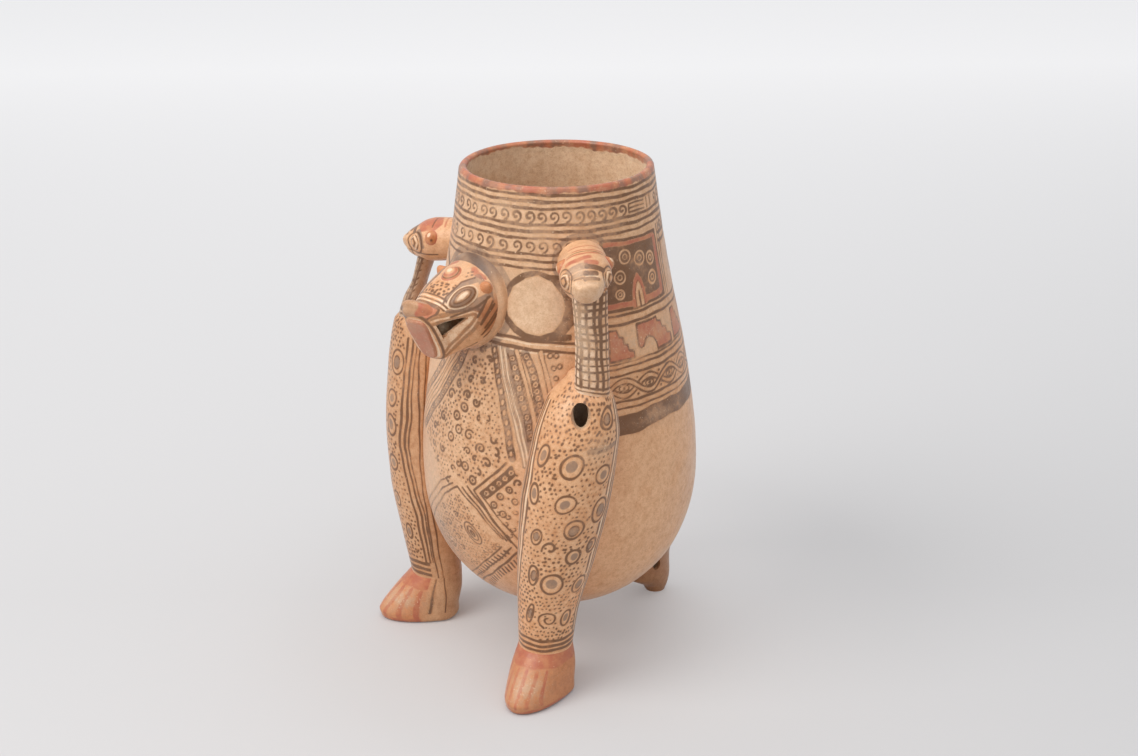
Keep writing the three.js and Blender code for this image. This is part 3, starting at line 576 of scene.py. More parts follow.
class Chart:
    """Painted marks on a surface charted by degrees round it and millimetres along it. Each mark is a signed
    distance in millimetres, negative inside the paint. Reach gives the millimetres in a radian, and stretch
    the millimetres of surface in a millimetre of row. Slow waves slide and lift the strokes, as an unsteady
    hand does, and make them swell and thin."""

    def __init__(self, degrees, rows, reach, stretch=None, tremble=0.35):
        self.degrees, self.rows, self.reach = degrees, rows, reach
        self.stretch = np.ones(len(rows)) if stretch is None else stretch
        self.fields = {}
        u = np.radians(degrees)[None, :] * reach.mean()
        v = rows[:, None]
        self.slide = tremble * (np.sin(u / 5.1 + v / 9.7) + 0.7 * np.sin(v / 3.7 - u / 6.3 + 1.1))
        self.lift = tremble * (np.sin(u / 7.3 - v / 6.1 + 2.0) + 0.7 * np.sin(u / 3.1 + v / 4.9))
        swell = np.sin(u / 2.3 + v / 3.1) * np.sin(v / 2.7 - u / 4.1) + np.sin(u / 11 - v / 13)
        self.breath = 0.13 * swell

    def field(self, name):
        """Distances to a mark, which is nowhere near until it is drawn."""
        if name not in self.fields:
            self.fields[name] = np.full((len(self.rows), len(self.degrees)), FAR)
        return self.fields[name]

    def scale(self, row):
        """Millimetres in a degree and in a millimetre of row, at a row."""
        wide = float(np.interp(row, self.rows, self.reach)) * math.pi / 180
        return wide, float(np.interp(row, self.rows, self.stretch))

    def window(self, low, high, margin):
        """Rows and columns in a box of degrees and rows with a margin in millimetres, their places in
        millimetres from the box's middle, the middle and the scale."""
        middle = ((low[0] + high[0]) / 2, (low[1] + high[1]) / 2)
        wide, tall = self.scale(middle[1])
        half_row = (high[1] - low[1]) / 2 + margin / tall
        first, last = np.searchsorted(self.rows, [middle[1] - half_row, middle[1] + half_row])
        turn = wrapped(self.degrees - middle[0])
        columns = np.nonzero(np.abs(turn) <= (high[0] - low[0]) / 2 + margin / wide)[0]
        pick = np.ix_(np.arange(first, last), columns)
        x = turn[columns][None, :] * wide + self.slide[pick]
        y = (self.rows[first:last, None] - middle[1]) * tall + self.lift[pick]
        return pick, x, y, middle, (wide, tall)

    def add(self, name, distance, pick=...):
        """Join a mark to those of its name: the nearer of the two distances."""
        field = self.field(name)
        field[pick] = np.minimum(field[pick], distance)

    def lay(self, name, distance, pick=...):
        """Put a mark down. Pale and rust are cream and red laid over the darker marks, which give way to
        them, and bare leaves the ground open."""
        distance = distance + self.breath[pick]
        if name in ("pale", "rust", "bare"):
            for mark in MARKS:
                field = self.field(mark)
                field[pick] = np.maximum(field[pick], -distance)
        if name != "bare":
            self.add({"pale": "cream", "rust": "red"}.get(name, name), distance, pick)

    def line(self, name, points, half, closed=False):
        """A stroke: the distance to a run of straight steps, less half its width."""
        points = np.asarray(points, float)
        if closed:
            points = np.vstack([points, points[:1]])
        pick, x, y, middle, scale = self.window(points.min(0), points.max(0), half + 2.5)
        path = (points - middle) * scale
        self.lay(name, np.sqrt(near_steps(x, y, path[:-1], path[1:])) - half, pick)

    def lines(self, name, strokes):
        """Strokes, each given by its points and half its width."""
        for points, half in strokes:
            self.line(name, points, half)

    def fill(self, name, points):
        """A filled outline: the signed distance to its sides."""
        points = np.asarray(points, float)
        pick, x, y, middle, scale = self.window(points.min(0), points.max(0), 3.0)
        self.lay(name, outline_gap(x, y, (points - middle) * scale), pick)

    def oval(self, name, centre, half_width, half_height, half=None, turn=0.0):
        """An oval in millimetres, filled, or a ring whose line is half wide to each side."""
        margin = max(half_width, half_height) + (half or 0) + 2.5
        pick, x, y = self.window(centre, centre, margin)[:3]
        lean = math.radians(turn)
        x, y = x * math.cos(lean) + y * math.sin(lean), y * math.cos(lean) - x * math.sin(lean)
        out = np.hypot(x / half_width, y / half_height)
        slope = np.hypot(x / half_width**2, y / half_height**2) / np.maximum(out, 1e-6)
        distance = (out - 1) / np.maximum(slope, 1e-6)
        distance = np.where(out < 0.2, -min(half_width, half_height) * (1 - out), distance)
        self.lay(name, distance if half is None else np.abs(distance) - half, pick)

    def curl(self, name, centre, radius, turns, half, start=0.0, way=1):
        """A hook: a spiral whose radius shrinks evenly to a fifth while it turns."""
        share = np.linspace(0, 1, 18)
        angle = math.radians(start) + way * share * turns * 2 * math.pi
        spiral = np.stack([np.cos(angle), np.sin(angle)], -1) * (radius * (1 - 0.8 * share))[:, None]
        self.line(name, centre + spiral / self.scale(centre[1]), half)

    def band(self, name, row, half, low=-180.0, high=180.0):
        """A level line round the surface between two azimuths."""
        distance = np.abs(self.rows[:, None] - row + self.lift) * self.stretch[:, None] - half
        if high - low < 360:
            past = np.abs(wrapped(self.degrees - (low + high) / 2)) - (high - low) / 2
            distance = np.maximum(distance, past * (self.reach[:, None] * math.pi / 180))
        self.lay(name, distance)

    def bands(self, name, levels, *span):
        """Level lines, each given by its row and half its width."""
        for row, half in levels:
            self.band(name, row, half, *span)

    def wear(self, *patches):
        """Rubbed paint, and in some patches a painted highlight, by patches of azimuth, row, width in
        degrees, height
        in rows and strength: strongest at the middle of a patch, falling away as a bell."""
        worn = self.fields.setdefault("worn", np.zeros(self.breath.shape))
        for azimuth, row, wide, tall, strength in patches:
            across = (wrapped(self.degrees - azimuth) / wide) ** 2
            bell = np.exp(-across[None, :] - (((self.rows - row) / tall) ** 2)[:, None])
            np.maximum(worn, strength * bell, out=worn)

    def scatter(self, name, outline, spacing, dot, clear, seed, avoid=("ink",)):
        """Dots on a jittered grid inside an outline, left out where other marks are nearer than clear."""
        outline = np.asarray(outline, float)
        low, high = outline.min(0), outline.max(0)
        wide, tall = self.scale((low[1] + high[1]) / 2)
        dice = np.random.default_rng(seed)
        u = np.arange(low[0], high[0], spacing / wide)
        v = np.arange(low[1], high[1], spacing * 0.9 / tall)
        u, v = np.meshgrid(u, v)
        u = u + (np.arange(len(v))[:, None] % 2) * spacing / wide / 2
        u = (u + dice.normal(0, 0.15, u.shape) * spacing / wide).ravel()
        v = (v + dice.normal(0, 0.15, v.shape) * spacing / tall).ravel()
        inside = within(u, v, outline) & (v > self.rows[0]) & (v < self.rows[-1])
        u, v = u[inside], v[inside]
        row = np.clip(np.searchsorted(self.rows, v), 0, len(self.rows) - 1)
        order = np.argsort(self.degrees)
        column = order[np.searchsorted(self.degrees[order], wrapped(u)) % len(order)]
        room = np.min([self.field(mark)[row, column] for mark in avoid], 0)
        grow = dice.uniform(0.75, 1.25, (2, len(u)))
        lean = dice.normal(0, 35, len(u))
        for i in np.nonzero(room > clear)[0]:
            self.oval(name, (u[i], v[i]), dot * grow[0, i] * 0.95, dot * grow[1, i] * 1.05, turn=lean[i])


def mirrored(points, way, middle):
    """Points of a drawing, or their mirror image about a middle azimuth where way is negative."""
    return [(azimuth if way > 0 else 2 * middle - azimuth, row) for azimuth, row in points]


def shifted(points, turn, rise=0.0):
    """Points of a drawing moved by degrees and rows."""
    return [(azimuth + turn, row + rise) for azimuth, row in points]


def rosette(chart, centre, width, height, seed):
    """A spot that dots keep off: a dark ring round bare ground, and a grey core in it, often with a dark
    edge."""
    dice = np.random.default_rng(seed)
    wide = chart.scale(centre[1])[0] * width
    lean = dice.normal(0, 8)
    chart.oval("bare", centre, wide + 1.4, height + 1.4)
    chart.oval("kept", centre, wide, height)
    chart.oval("ink", centre, wide - 0.6, height - 0.6, 0.75, lean)
    core = (centre[0] + dice.normal(0, 1), centre[1] + dice.normal(0, 0.4))
    chart.oval("grey", core, wide * 0.46, height * 0.46, None, lean)
    if dice.random() < 0.65:
        chart.oval("ink", core, wide * 0.48, height * 0.48, 0.45, lean)


def ringlets(chart, places, radius, half, dotted=True):
    """Small rings, with a dot in each if dotted."""
    for centre in places:
        chart.oval("ink", centre, radius, radius, half)
        if dotted:
            chart.oval("ink", centre, radius * 0.32, radius * 0.32)


def beads(chart, path, count, wide, tall, dotted):
    """Reserved rings strung evenly along a path: bare ovals with a thin dark edge, and a dot in each if
    dotted."""
    path = np.asarray(path, float)
    run = np.concatenate([[0], np.cumsum(np.linalg.norm(np.diff(path, axis=0) * (1.5, 1), axis=1))])
    for place in (np.arange(count) + 0.5) / count * run[-1]:
        centre = (np.interp(place, run, path[:, 0]), np.interp(place, run, path[:, 1]))
        chart.oval("bare", centre, wide, tall)
        chart.oval("ink", centre, wide, tall, 0.38)
        if dotted:
            chart.oval("ink", centre, 0.72, 0.72)


def strip(chart, path, half, count, wide, tall, dotted=True):
    """A strip of grey wash between dark edges, with reserved rings strung along it."""
    chart.line("grey", path, half)
    for side in (-1, 1):
        chart.line("ink", shifted(path, side * half / 1.5), 0.42)
    beads(chart, path, count, wide, tall, dotted)


def stripe(chart, path, half):
    """A bare stripe between two dark lines."""
    chart.line("ink", path, half + 0.8)
    chart.line("bare", path, half)


def hatch(chart, first, last, shares, tail, tip, half):
    """Short strokes at shares of the way between two places, each from a tail to a tip about its place."""
    for share in shares:
        place = np.array(first) * (1 - share) + np.array(last) * share
        chart.line("ink", [place + tail, place + tip], half)


def hook_band(chart, row, places):
    """Running hooks: each a stem on the right that turns over to the left and curls inwards."""
    for azimuth in places:
        chart.curl("ink", (azimuth, row), 3.7, 1.08, 0.7, -80)


# Azimuths of the running hooks in the upper and the lower row on the neck.
HOOKS_ABOVE = (
    -56, -49, -42, -35.5, -28.5, -21.5, -14.9, -6.4, 0.4, 8.6, 15.2, 23.2, 30.7, 38.4, 45, 52, 58.5, 65.6,
    72.3, 79, 85.4, 92,
)
HOOKS_BELOW = (-57, -50, -43.5, -37, -30.5, -24, -17.5, -8.6, -0.8, 7.6, 15, 23.3, 31.8, 39, 45.9, 53, 60)
NECK_LEVELS = ((325.4, 0.9), (321.4, 1.05), (317.3, 0.9), (307.4, 0.95), (303.4, 1.1), (299.1, 0.85))


def paint_neck(chart):
    """Level lines and running hooks round the neck, and a block of short strokes on each side."""
    chart.bands("ink", NECK_LEVELS)
    hook_band(chart, 312.4, HOOKS_ABOVE)
    hook_band(chart, 312.4, np.arange(126, 262, 7.0))
    for start in (97, -113):
        for row in (309.9, 312.4, 314.9):
            chart.line("ink", [(start, row), (start + 14, row)], 0.6)
        chart.line("ink", [(start, 309.9), (start, 314.9)], 0.6)
        for azimuth in (start + 17, start + 21):
            chart.line("ink", [(azimuth, 309.5), (azimuth, 315.6)], 0.65)
    hook_band(chart, 294.2, HOOKS_BELOW)
    chart.bands("ink", ((289.3, 0.9), (285.4, 0.95), (281.0, 0.9)), -60, 62)
    # These patches of thinned, paled paint on the front of the neck are partly rubbed paint and partly a
    # painted highlight for the glare down the neck.
    chart.wear((30, 305, 80, 45, 0.62), (22, 316, 14, 9, 0.9), (40, 300, 10, 12, 0.8))


# The bare disc beside the big head: its middle, and its outline in millimetres about that.
DISC = (42.4, 258.8)
DISC_OUTLINE = (
    (2, 18.4), (11, 14.2), (17, 6), (18.9, -2), (16.7, -9.6), (11.5, -15.4), (3, -18.4), (-5, -16.6),
    (-11, -13.4), (-16.4, -8), (-18.7, 0.7), (-15.4, 10), (-7, 16.4),
)
# The lines under the disc: mark, half width, and heights at its left, its middle and its right.
DISC_LINES = (
    ("ink", 0.9, 238.8, 238.2, 235.2),
    ("pale", 0.42, 236.9, 236.2, 233.2),
    ("ink", 1, 233.6, 232.8, 229.6),
    ("pale", 0.36, 231.7, 230.9, 227.8),
)


def paint_front_neck(chart, way):
    """The bare disc in its dark surround beside the big head, the lines under it, and grey rings round the
    roots of the big head and the arm's head."""

    def at(*points):
        return mirrored(points, way, 4)

    if way > 0:
        chart.oval("grey", (5, 256), 33.5, 31, 2.4)
    chart.oval("ink", at(DISC)[0], 21.6, 21.4)
    chart.fill("ink", at((50, 278), (61, 276), (62, 248), (56, 240), (48, 239), (54, 260)))
    chart.fill("ink", at((28, 247), (33, 241), (44, 237.6), (60, 237), (60, 241), (44, 243)))
    reach = jar_radius(DISC[1]) * math.pi / 180
    chart.fill("bare", at(*((DISC[0] + x / reach, DISC[1] + y) for x, y in DISC_OUTLINE)))
    chart.oval("grey", (66.5, 285) if way > 0 else (-61, 271), 17.5, 16.5, 1.6)
    for mark, half, left, middle, right in DISC_LINES:
        chart.line(mark, at((12, left), (32, middle), (62, right)), half)
    chart.wear((*at((56, 258))[0], 5, 20, 0.9))


# The dark panel on the side of the neck: red blocks, rings as azimuth, height and radius, and an arch.
PANEL_BLOCKS = (
    ((78, 294.4), (117, 292.2), (117, 289.6), (78, 291.6)),
    ((78, 253), (94.4, 253), (94.4, 256.6), (78, 256.6)),
    ((101.4, 253), (117, 253), (117, 257), (101.4, 257)), ((115, 291), (118, 291), (118, 254), (115, 254)),
)
PANEL_RINGS = (
    (91, 284, 4.4), (101, 280.6, 4.2), (109.6, 278.4, 4), (86.5, 272, 4), (109.2, 266.5, 4),
    (85.5, 261.2, 3), (80.5, 282, 3.2),
)
RED_ARCH = ((92.6, 252), (93, 262), (94.6, 268.4), (97.5, 273), (100.2, 268.4), (102, 262), (102.4, 252))
BARE_ARCH = ((95, 252), (95.2, 261), (96.2, 265), (97.6, 267.4), (99, 265), (100, 261), (100.2, 252))


def paint_panel(chart, way):
    """A dark panel on the side of the neck with reserved rings and a pointed arch in it."""

    def at(*points):
        return mirrored(points, way, 0)

    chart.fill("ink", at((76, 296.2), (119, 294), (120, 251), (76, 251)))
    for block in PANEL_BLOCKS:
        chart.fill("rust", at(*block))
    for azimuth, row, radius in PANEL_RINGS:
        chart.oval("bare", (way * azimuth, row), radius, radius, 0.62)
        chart.oval("bare", (way * azimuth, row), radius * 0.4, radius * 0.4, 0.42)
    chart.fill("rust", at(*RED_ARCH))
    chart.line("ink", at(*BARE_ARCH), 0.6)
    chart.fill("bare", at(*BARE_ARCH))
    chart.line("ink", at((97.6, 252), (97.6, 261)), 0.7)
    for azimuth in (121.6, 124.4):
        chart.line("ink", at((azimuth, 296), (azimuth, 251)), 0.55)


FRET_STEP = (
    (77, 240.5), (81.5, 240.5), (82.5, 236), (84.5, 235), (85, 231), (87, 230), (87.6, 226.5), (90, 225.5),
    (90.2, 221.5), (77, 221.5),
)
FRET_HOOK = (
    (93, 241), (107.5, 241), (108, 238.5), (111, 237.5), (111.8, 233.5), (115, 232), (115.8, 228),
    (119, 226.5), (119, 221.5), (105.6, 221.5), (105.2, 226), (103, 230), (100, 231.5), (98, 230.5),
    (96.5, 227), (95, 225.5), (93.5, 227.5),
)


def paint_frets(chart, turn):
    """Red stepped blocks and hooks, outlined in dark paint, between level lines on the shoulder."""
    for outline in (FRET_STEP, FRET_HOOK):
        chart.fill("red", shifted(outline, turn))
        chart.line("ink", shifted(outline, turn), 0.68, True)


def paint_guilloche(chart, low, high):
    """A twist of two strands: sine waves in opposite step, each drawn as two lines, with a ringed eye in
    each opening and small dots over and under the crossings."""
    level, first, step = 203.4, 97, 14
    azimuth = np.arange(low, high, 1.0)
    wave = 4.6 * np.cos(np.pi * (azimuth - first) / step)
    for sign in (1, -1):
        if sign < 0:
            chart.line("bare", np.stack([azimuth, level - wave], -1), 2.2)
        for side in (-1.7, 1.7):
            chart.line("ink", np.stack([azimuth, level + sign * wave + side], -1), 0.62)
    for middle in np.arange(first + step * math.ceil((low - 92) / step), high - 4, step):
        chart.oval("ink", (middle, level), 3.6, 1.9, 0.5)
        chart.oval("ink", (middle, level), 1.2, 0.8)
        for row in (208.4, 198.4):
            chart.oval("ink", (middle + 7, row), 0.9, 0.7)


SIDE_LEVELS = (
    (249, 0.85), (243.6, 0.9), (219.6, 0.55), (216.6, 0.75), (212, 0.85), (195.4, 0.8), (191.2, 0.6),
)


def paint_sides(chart):
    """The sides and the back: panels, frets, twist, the broad dark band under them, and ringed discs."""
    for way in (1, -1):
        paint_panel(chart, way)
    for span in ((70, 180), (-180, -68)):
        chart.bands("ink", SIDE_LEVELS, *span)
    for turn in (0, 45, 90, 135):
        paint_frets(chart, turn)
    paint_guilloche(chart, 72, 290)
    edge = np.linspace(68, 292, 90)
    rise = 2.6 * smooth(78, 112, edge) + 0.8 * np.sin(edge / 5.0) + 0.5 * np.sin(edge / 2.1)
    top = np.stack([edge, 187.2 + 0.5 * rise], -1)
    low = np.stack([edge, 174.5 + rise], -1)[::-1]
    chart.fill("ink", np.concatenate([top, low]))
    hook_band(chart, 294, np.arange(128, 234, 7))
    for span in ((122, 180), (-180, -122)):
        chart.bands("ink", ((290.4, 0.9), (285.4, 0.9)), *span)
    for azimuth in (150, 180, 210):
        chart.oval("ink", (azimuth, 268), 13, 13, 1.6)
        chart.oval("red", (azimuth, 268), 6, 6)
        chart.oval("ink", (azimuth, 268), 7.4, 7.4, 0.6)
    chart.wear((100, 181, 16, 6, 0.7), (100, 232, 40, 9, 0.9))


# Strips of the belly's drawing to the left of its middle line, as azimuth and height.
INNER_STRIP = (
    (22.9, 231.5), (24.2, 224), (26.4, 211), (28.5, 200), (30.2, 190), (32.2, 179), (33.4, 169),
    (34.4, 162),
)
PALE_LINES = (
    ((26.2, 231.5), (28.9, 213), (32.4, 197), (35.2, 183.5), (37.8, 171), (39.8, 158)),
    ((28.5, 231), (31.2, 213), (34.1, 199), (37, 185.8), (39.6, 170), (41.2, 158)),
)
DARK_STRIPE = ((30.3, 231), (32.6, 216), (35.2, 202.8), (38, 189.3), (40.2, 175.7), (42.6, 160))
RING_STRIPS = (
    (
        (32, 228), (33.9, 221), (35.4, 213), (37.1, 204), (38.9, 196), (40.2, 189), (41.4, 182),
        (42.6, 174),
    ),
    ((38.6, 229), (41.2, 221.5), (43, 213.5), (44.5, 206), (45.4, 199), (46.2, 191)),
)
BARE_STRIPES = (
    ((34.6, 230), (36.8, 221.7), (39.6, 209.7), (41.7, 199.7), (43.4, 187), (44.8, 172)),
    ((45.6, 230.2), (47.2, 221.3), (48.8, 213), (50, 206)),
)
# The same strips to the right of the middle line, where they lie flatter.
FAR_STRIPS = (
    (
        (7, 225), (3.8, 214.5), (1.2, 207.7), (-3.5, 196.8), (-7.2, 188.3), (-11.5, 180.2),
        (-16.6, 170.4), (-23, 159.5),
    ),
    ((-9.5, 210), (-12.6, 204.6), (-16.6, 195.6), (-23.8, 184.7), (-34.1, 170.4), (-40, 160)),
)
FAR_STRIPES = (
    ((2.6, 222), (0.2, 216), (-4.4, 205.3), (-11.4, 190.8), (-22.9, 170.4), (-32.8, 150)),
    ((-4.4, 214.4), (-9, 203.8), (-17.4, 188.6), (-33.5, 162.7)),
)
# Curls on the dotted field: azimuth, height, size, turns, start and way.
FIELD_CURLS = (
    (0.7, 193, 3.4, 1.05, 20, 1), (10.8, 196.4, 2.9, 1.1, 200, -1), (15.8, 193, 2.8, 1.1, 20, -1),
    (-3.7, 176, 2.8, 1, 90, 1), (13.6, 171, 3.4, 1.2, 40, 1), (26.4, 171.4, 2.8, 0.62, 150, 1),
    (19.8, 164.3, 3.4, 1.25, 210, -1), (13.2, 160.2, 2.7, 1.05, 180, -1), (17.3, 156.6, 1.8, 0.7, 60, 1),
    (27.1, 163.4, 3, 0.5, 90, -1), (23.1, 155.9, 3, 0.85, 140, -1), (19.2, 148.2, 2.4, 0.55, 100, -1),
    (2.3, 134.8, 2.2, 0.7, 60, 1), (18.3, 183.3, 2.2, 0.5, 90, 1), (22.6, 184.2, 2.2, 0.5, 80, -1),
    (5.2, 201.3, 2.6, 1, 90, 1), (-9.5, 166, 2.6, 0.9, 30, 1), (8.4, 150, 2.7, 1, 60, -1),
    (-2.4, 155, 2.7, 1, 150, 1), (5, 145, 2.2, 0.8, 10, 1), (11.6, 206.4, 2.4, 0.9, 40, 1),
    (18.4, 207.4, 2.2, 0.8, 120, -1), (-5.6, 145.4, 2.3, 0.8, 80, 1), (-10, 155, 2.2, 0.8, 10, -1),
    (17, 226.5, 2.2, 0.8, 40, 1), (21.4, 222, 2, 0.9, 150, -1), (13.4, 219, 2.2, 0.8, 80, 1),
)
FIELD_RINGS = ((5.7, 180.8), (2.8, 165.5), (16.4, 142), (9.6, 187.5), (7.6, 172.6), (12.4, 149.5))
FIELD = (
    (8, 217), (12, 226), (19, 230), (23.4, 226), (25.4, 211), (27.6, 200), (31.2, 179), (32.6, 163.5),
    (15.4, 136.6), (8.5, 141), (-1, 130.4), (-7.3, 143.4), (-20, 157), (-11, 176), (-1, 197), (4, 211),
)
ARM_RINGS = ((49.8, 228), (51.4, 221), (52.6, 228), (54.2, 222), (52.6, 214.6))
# The nested triangle at the left leg: lines with half their widths, rings, curls and dots.
TRIANGLE_LINES = (
    (((31.8, 158.5), (17.1, 135.1), (36.7, 97.4)), 0.72),
    (((33.9, 156.4), (20.3, 134.1), (37.2, 105)), 0.66), (((7.9, 133.9), (17.8, 122.3), (29.6, 104)), 0.6),
    (((10.7, 134.9), (19.8, 122.8), (31.4, 103.4)), 0.66),
    (((13.4, 136.6), (21.8, 124.3), (33.4, 102.7)), 0.72),
)
TRIANGLE_RINGS = ((33.2, 140.8), (29.3, 135), (35.6, 133.5), (26.5, 128.5), (30.4, 123.4))
TRIANGLE_CURLS = ((36, 126.3), (32.8, 122.2), (34.7, 113.7), (31.6, 117.2), (28.2, 123.6), (33.4, 108.6))
TRIANGLE_DOTS = ((30.1, 129.4), (32.7, 134.6), (35.9, 139.5), (36.7, 119.3), (33.3, 128.4), (36.8, 151))
# The hatched border below the triangle.
BORDER_LINES = (
    (((28.7, 98.2), (21.3, 86.1), (8.5, 69.1), (-4, 58)), 0.6),
    (((36.5, 97.3), (28.7, 85), (19.8, 71.9), (1.7, 52.8)), 0.7),
    (((33.4, 99), (25.8, 86.4), (13.8, 70), (-1, 55.6)), 0.55),
)
# The lozenge under the field: its outline, lines, and curls as azimuth, height and size.
LOZENGE = (
    (7.9, 130), (-0.8, 120.4), (-10.1, 104), (-20.4, 88.6), (-16.4, 76), (-10, 66), (8, 71.6), (20, 88),
    (27.2, 98.4),
)
LOZENGE_LINES = (
    (
        ((7.9, 133.9), (-0.8, 124), (-10.1, 107.5), (-22.6, 89), (-20.1, 81.5), (-16.8, 74), (-12.8, 67)),
        0.66,
    ),
    (((5.2, 134.6), (-2.4, 127), (-11.4, 112.4), (-24.6, 94.4)), 0.6),
    (((4, 138.4), (-3.6, 131.4), (-13, 116), (-27, 98)), 0.66),
)
LOZENGE_CURLS = (
    (-0.5, 102.6, 3.2), (4.3, 94.2, 2.6), (5.3, 86.6, 2.4), (5.7, 112, 2.6), (-3, 113, 2.4), (-8, 96, 3),
    (-2, 84, 2.6),
)


def paint_belly(chart):
    """The drawing on the belly: slanting strips with rings on both sides of a dotted field with curls, a
    nested triangle at the left leg and a lozenge under the field."""
    for path in PALE_LINES:
        chart.line("grey", path, 1.5)
        chart.line("pale", path, 0.55)
    chart.line("grey", DARK_STRIPE, 1.3)
    for path in RING_STRIPS:
        strip(chart, path, 2.7, 9, 1.9, 2.1)
    for path in BARE_STRIPES:
        stripe(chart, path, 1.15)
    strip(chart, INNER_STRIP, 2.1, 11, 1.35, 2.2, False)
    for path, count in zip(FAR_STRIPS, (13, 11)):
        strip(chart, path, 2.8, count, 1.9, 2.0)
    for path in FAR_STRIPES:
        stripe(chart, path, 1.2)
    ringlets(chart, ARM_RINGS, 1.5, 0.55, False)
    chart.fill("ink", ((34.6, 157.2), (20.2, 134.4), (23.4, 131.2), (36.6, 151.2)))
    beads(chart, ((35.6, 154.6), (22.0, 133.6)), 5, 2.3, 2.1, True)
    chart.lines("ink", TRIANGLE_LINES)
    chart.curl("ink", (37.3, 145.6), 3.0, 0.8, 0.8, 200, -1)
    ringlets(chart, TRIANGLE_RINGS, 2.1, 0.62)
    for centre in TRIANGLE_CURLS:
        chart.curl("ink", centre, 2.4, 0.75, 0.55, 190)
    for centre in TRIANGLE_DOTS:
        chart.oval("ink", centre, 0.95, 0.8)
    chart.lines("ink", BORDER_LINES)
    hatch(chart, (36.8, 93.4), (9, 55), np.linspace(0, 1, 17), (0, 0), (1.5, -3.4), 0.72)
    hatch(chart, (31.2, 95.4), (7.4, 63), np.linspace(0.03, 0.97, 13), (-0.9, 0.7), (0.9, -0.7), 0.85)
    beads(chart, ((27.9, 100.5), (21.6, 91), (13.8, 80), (4, 69.6)), 10, 1.6, 1.3, False)
    for wide, tall in ((8.4, 4.8), (5.4, 2.9), (2.2, 0.9)):
        chart.oval("ink", (14.5, 102.6), wide, tall, hand().line * 500, -52)
    chart.lines("ink", LOZENGE_LINES)
    for azimuth, row, radius in LOZENGE_CURLS:
        chart.curl("ink", (azimuth, row), radius, 1.0, 0.55, 60 * radius, -1)
    for azimuth, row, radius, turns, start, way in FIELD_CURLS:
        chart.curl("ink", (azimuth, row), radius * 1.14, turns, 0.8, start, way)
    ringlets(chart, FIELD_RINGS, 2.7, 0.7)
    chart.scatter("ink", FIELD, 3.2, 0.73, 0.9, 11)
    chart.scatter("ink", LOZENGE, 2.6, 0.58, 0.8, 13)
    chart.wear((-10, 122, 16, 40, 0.8), (38, 205, 14, 30, 0.6), (-14, 190, 16, 30, 0.7))
    chart.wear((51, 216, 5, 11, 0.9), (12, 228, 12, 10, 0.6), (2, 205, 8, 12, 0.5))


def paint_jar(chart):
    """The whole jar's drawing, of which each piece of its wall shows the part on its own rows."""
    paint_neck(chart)
    for way in (1, -1):
        paint_front_neck(chart, way)
    paint_sides(chart)
    paint_belly(chart)


# Spots on the legs: degree round the leg, height, half width in degrees and half height.
LEFT_SPOTS = (
    (40, 198, 14, 7), (-50, 177, 10, 7.5), (-8, 172, 16, 7.5), (40, 165, 13, 6.5), (-52, 152, 9, 7),
    (-5, 148.5, 14, 6.5), (46, 141, 14, 8), (13, 131, 14, 6.5), (21, 111, 12, 6), (-33, 96, 10, 8),
    (-1, 91, 17, 8), (47, 88, 15, 7), (-32, 66, 8, 8), (40, 62, 11, 6.5), (-37, 124, 9, 6),
    (48, 116, 9, 5.5),
)
RIGHT_SPOTS = (
    (67, 188, 16, 8.5), (57, 162, 12, 6.5), (55, 143, 13, 7.5), (52, 116, 12, 6), (48, 90, 11, 6),
    (62, 68, 10, 5.5), (22, 176, 14, 7.5), (20, 150, 13, 7), (18, 128, 13, 6.5), (15, 103, 14, 7),
    (20, 76, 13, 7), (20, 56, 11, 6), (-20, 190, 14, 7), (-22, 162, 13, 7), (-24, 138, 13, 7),
    (-26, 112, 13, 7), (-24, 86, 13, 7), (-22, 62, 12, 6.5),
)
# How each leg is drawn: the side its front edge lies to, its front and back edges, the lines along them as
# shift, half width and mark, the reach of the ankle's bands, and the lines on its hidden side.
LEG_DRAWINGS = {
    "left": {
        "spots": LEFT_SPOTS,
        "away": -1,
        "edge": [
            (-74, 207), (-70, 190), (-67, 170), (-62, 150), (-59, 130), (-62, 110), (-66, 90), (-72, 70),
            (-76, 46),
        ],
        "back": [(66, 206), (60, 190), (56, 165), (54, 140), (53, 115), (56, 90), (64, 70), (70, 46)],
        "borders": ((0, 0.85, "ink"), (4.6, 0.65, "cream"), (9, 0.8, "ink"), (17, 1.5, "ink")),
        "ankle": (-75, 115),
        "hidden": (-90, -102),
    },
    "right": {
        "spots": RIGHT_SPOTS,
        "away": 1,
        "edge": [(86, 205), (86, 190), (80, 170), (78, 150), (73, 130), (80, 105), (88, 80), (88, 46)],
        "back": [
            (-72, 206), (-66, 190), (-62, 165), (-60, 140), (-58, 115), (-58, 90), (-60, 70),
            (-62, 46),
        ],
        "borders": ((0, 1, "ink"), (9.5, 0.9, "ink"), (16, 0.6, "ink")),
        "ankle": (-120, 95),
        "hidden": (108, 120),
    },
}


